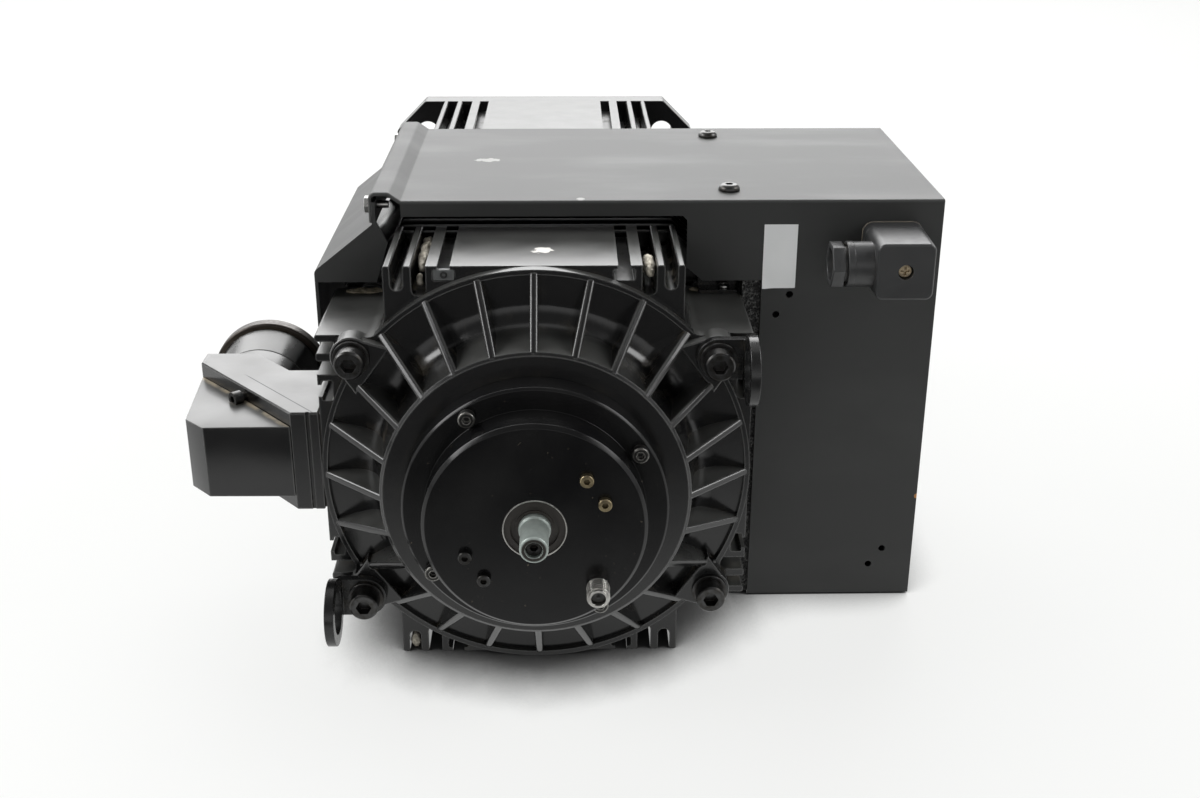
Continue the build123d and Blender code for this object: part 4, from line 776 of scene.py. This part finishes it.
def mouth(piece, ring_width, depth):
    """Insets the face that looks to -X and pushes it in."""
    bpy.ops.object.mode_set(mode="EDIT")
    bpy.ops.mesh.select_mode(type="FACE")
    bpy.ops.mesh.select_all(action="DESELECT")
    bpy.ops.object.mode_set(mode="OBJECT")
    for face in piece.data.polygons:
        face.select = face.normal.x < -0.9
    bpy.ops.object.mode_set(mode="EDIT")
    bpy.ops.mesh.inset(thickness=ring_width * millimetre)
    bpy.ops.mesh.extrude_region_move(TRANSFORM_OT_translate={"value": (depth * millimetre, 0, 0)})
    bpy.ops.object.mode_set(mode="OBJECT")


gland_y, gland_z = -336.45, 87.2
gland_nut = prism_x(96, 10.6, 132.1, 137.8, gland_y, gland_z)
mouth(gland_nut, 3.5, 4.6)
for flat in range(6):
    lean = radians(60 * flat + 30)
    side = Vector((0, cos(lean), sin(lean)))
    saw(gland_nut, Vector((135, gland_y, gland_z)) + side * 9.25, side)
apply_modifier(gland_nut, "BEVEL", width=0.5 * millimetre, segments=3, angle_limit=radians(34))
finish_piece(gland_nut, "gland_nut_short", finishes["black_plastic"])
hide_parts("gland_nut")

gland_collar = prism_x(72, 10.35, 139.0, 142.2, gland_y, gland_z)
mouth(gland_collar, 1.6, 1.2)
apply_modifier(gland_collar, "BEVEL", width=0.35 * millimetre, segments=3, angle_limit=radians(34))
finish_piece(gland_collar, "gland_collar", finishes["black_plastic"])

# %% [markdown]
# ## Blank label
#
# The foil label has one corner that has come loose. A fine grid is bent there by a few steps of proportional
# pull, thickened to foil, and laid on the panel in the old label's place.

# %% Label with a lifted corner
label_low, label_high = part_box("supply_label")
start_clean()
label_middle = (label_low + label_high) / 2
bpy.ops.mesh.primitive_grid_add(
    x_subdivisions=12, y_subdivisions=24, size=1, location=(label_middle.x, label_high.y - 0.0001, label_middle.z),
    rotation=(pi / 2, 0, 0))
label = bpy.context.object
label.scale = (label_high.x - label_low.x, label_high.z - label_low.z, 1)
bpy.ops.object.transform_apply(location=True, rotation=True, scale=True)
bpy.ops.object.mode_set(mode="EDIT")
bpy.ops.mesh.select_mode(type="VERT")
for reach, lift in ((6.0, 0.12), (4.5, 0.22), (3.0, 0.32), (1.8, 0.4)):
    bpy.ops.mesh.select_all(action="DESELECT")
    bpy.ops.object.mode_set(mode="OBJECT")
    for vertex in label.data.vertices:
        across = (vertex.co.x - label_low.x) + (vertex.co.z - label_low.z)
        vertex.select = across < reach * millimetre
    bpy.ops.object.mode_set(mode="EDIT")
    bpy.ops.transform.translate(value=(0, -lift * millimetre, 0))
bpy.ops.object.mode_set(mode="OBJECT")
apply_modifier(label, "SOLIDIFY", thickness=0.12 * millimetre, offset=0)
finish_piece(label, "blank_label_foil", finishes["blank_label"], 60)
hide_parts("supply_label")

# %% [markdown]
# ## Floor and light
#
# The motor lies on a plain pale table in a bright tent. One wide soft lamp hangs over it and another stands
# behind it, low enough to be mirrored by the long top faces. What the camera and mirrors see past the floor is
# the world's white, while the light that falls on the motor from all round is dimmer.


# %% Floor, lamps and world
def soft_lamp(name, place, aim, width, height, radiance):
    """A rectangular lamp; its power follows from the brightness that a mirror would show."""
    lamp = bpy.data.lights.new(name, "AREA")
    lamp.shape = "RECTANGLE"
    lamp.size = width
    lamp.size_y = height
    lamp.energy = radiance * pi * width * height
    lamp_object = bpy.data.objects.new(name, lamp)
    lamp_object.location = place
    lamp_object.rotation_euler = (Vector(aim) - Vector(place)).to_track_quat("-Z", "Y").to_euler()
    bpy.context.scene.collection.objects.link(lamp_object)
    lamp_object.visible_camera = False
    return lamp_object


floor_height = -0.0961
bpy.ops.object.select_all(action="DESELECT")
bpy.ops.mesh.primitive_plane_add(size=14, location=(0, 2, floor_height))
floor = bpy.context.object
floor.name = "floor"
bpy.ops.object.transform_apply(location=True)
table = new_material("pale_table")
# Painted dark reflection: in mirrors only, the floor from 0.49 m in front of the flange towards the camera turns dark
# grey, fully so from 0.64 m.
along_shaft = add_node(table, "SeparateXYZ", {0: position(table)}).outputs["Y"]
mirror_ray = add_node(table, "LightPath").outputs["Is Glossy Ray"]
mirror_dark_front = times(table, between(table, along_shaft, -0.49, -0.64), mirror_ray)
table_tone_and_mirror_dark = mixed(table, mirror_dark_front, (0.88, 0.885, 0.875), (0.14, 0.14, 0.14))
surface(table, base_color=table_tone_and_mirror_dark, roughness=0.6)
floor.data.materials.append(table)

soft_lamp("overhead_lamp", (0, 0, 1.9), (0, -0.2, 0), 1.2, 1.2, 0.8)
soft_lamp("back_lamp", (-0.35, 1.9, 1.6), (0, -0.2, 0.1), 3.6, 1.9, 5.4)
soft_lamp("left_lamp", (-1.6, -0.35, 1.15), (0, -0.25, 0), 1.3, 0.9, 8.5)
soft_lamp("right_lamp", (1.6, -0.35, 1.15), (0, -0.25, 0), 1.3, 0.9, 6.5)


def seen_by_eye_or_mirror(tree):
    """1 for the rays of the camera, of mirrors and of glass, 0 for the rays that light things."""
    rays = tree.nodes.new("ShaderNodeLightPath")
    seen = rays.outputs["Is Camera Ray"]
    for ray in ("Is Glossy Ray", "Is Transmission Ray"):
        either = tree.nodes.new("ShaderNodeMath")
        either.operation = "MAXIMUM"
        tree.links.new(seen, either.inputs[0])
        tree.links.new(rays.outputs[ray], either.inputs[1])
        seen = either.outputs[0]
    return seen


# %% [markdown]
# The white tent is bright near the horizon and darker above, where its roof lies outside the lamps. That is why
# faces that look up at the lens stay black. The floor also glows a little for the camera, as an overexposed
# white table does, and keeps the motor's shadow, mostly as a painted shadow: ambient occlusion darkens the
# glow round the motor.

# %% Tent and glowing floor
world = bpy.data.worlds.new("tent")
bpy.context.scene.world = world
world.use_nodes = True
tent = world.node_tree
direction = tent.nodes.new("ShaderNodeTexCoord")
split = tent.nodes.new("ShaderNodeSeparateXYZ")
tent.links.new(direction.outputs["Generated"], split.inputs[0])
fade = tent.nodes.new("ShaderNodeMapRange")
fade.interpolation_type = "SMOOTHSTEP"
fade.inputs["From Min"].default_value = 0.15
fade.inputs["From Max"].default_value = 0.6
fade.inputs["To Min"].default_value = 0.97
fade.inputs["To Max"].default_value = 0.25
tent.links.new(split.outputs["Z"], fade.inputs["Value"])
share = tent.nodes.new("ShaderNodeMapRange")
share.inputs["To Min"].default_value = 0.55
tent.links.new(seen_by_eye_or_mirror(tent), share.inputs["Value"])
strength = tent.nodes.new("ShaderNodeMath")
strength.operation = "MULTIPLY"
tent.links.new(fade.outputs[0], strength.inputs[0])
tent.links.new(share.outputs[0], strength.inputs[1])
tent.links.new(strength.outputs[0], tent.nodes["Background"].inputs["Strength"])
tent.nodes["Background"].inputs["Color"].default_value = (1, 1, 1, 1)

glow = table.node_tree.nodes.new("ShaderNodeEmission")
# Painted shadow: ambient occlusion darkens the floor's glow near the motor, fully for the camera and a quarter as much
# in mirrors.
occlusion = add_node(table, "AmbientOcclusion", {"Distance": 0.05}, samples=16).outputs["AO"]
shade = between(table, occlusion, 0.76, 0.28)
camera_ray = add_node(table, "LightPath").outputs["Is Camera Ray"]
seen_shade = times(table, shade, between(table, camera_ray, 0, 1, 0.25, 1.0))
table.node_tree.links.new(mixed(table, seen_shade, table_tone_and_mirror_dark, (0, 0, 0)), glow.inputs["Color"])
glow.inputs["Strength"].default_value = 1.03
blend = table.node_tree.nodes.new("ShaderNodeMixShader")
half = times(table, seen_by_eye_or_mirror(table.node_tree), 0.85)
table.node_tree.links.new(half, blend.inputs["Fac"])
table.node_tree.links.new(table.node_tree.nodes["Principled BSDF"].outputs[0], blend.inputs[1])
table.node_tree.links.new(glow.outputs[0], blend.inputs[2])
table.node_tree.links.new(blend.outputs[0], table.node_tree.nodes["Material Output"].inputs["Surface"])
print("floor at", floor_height)
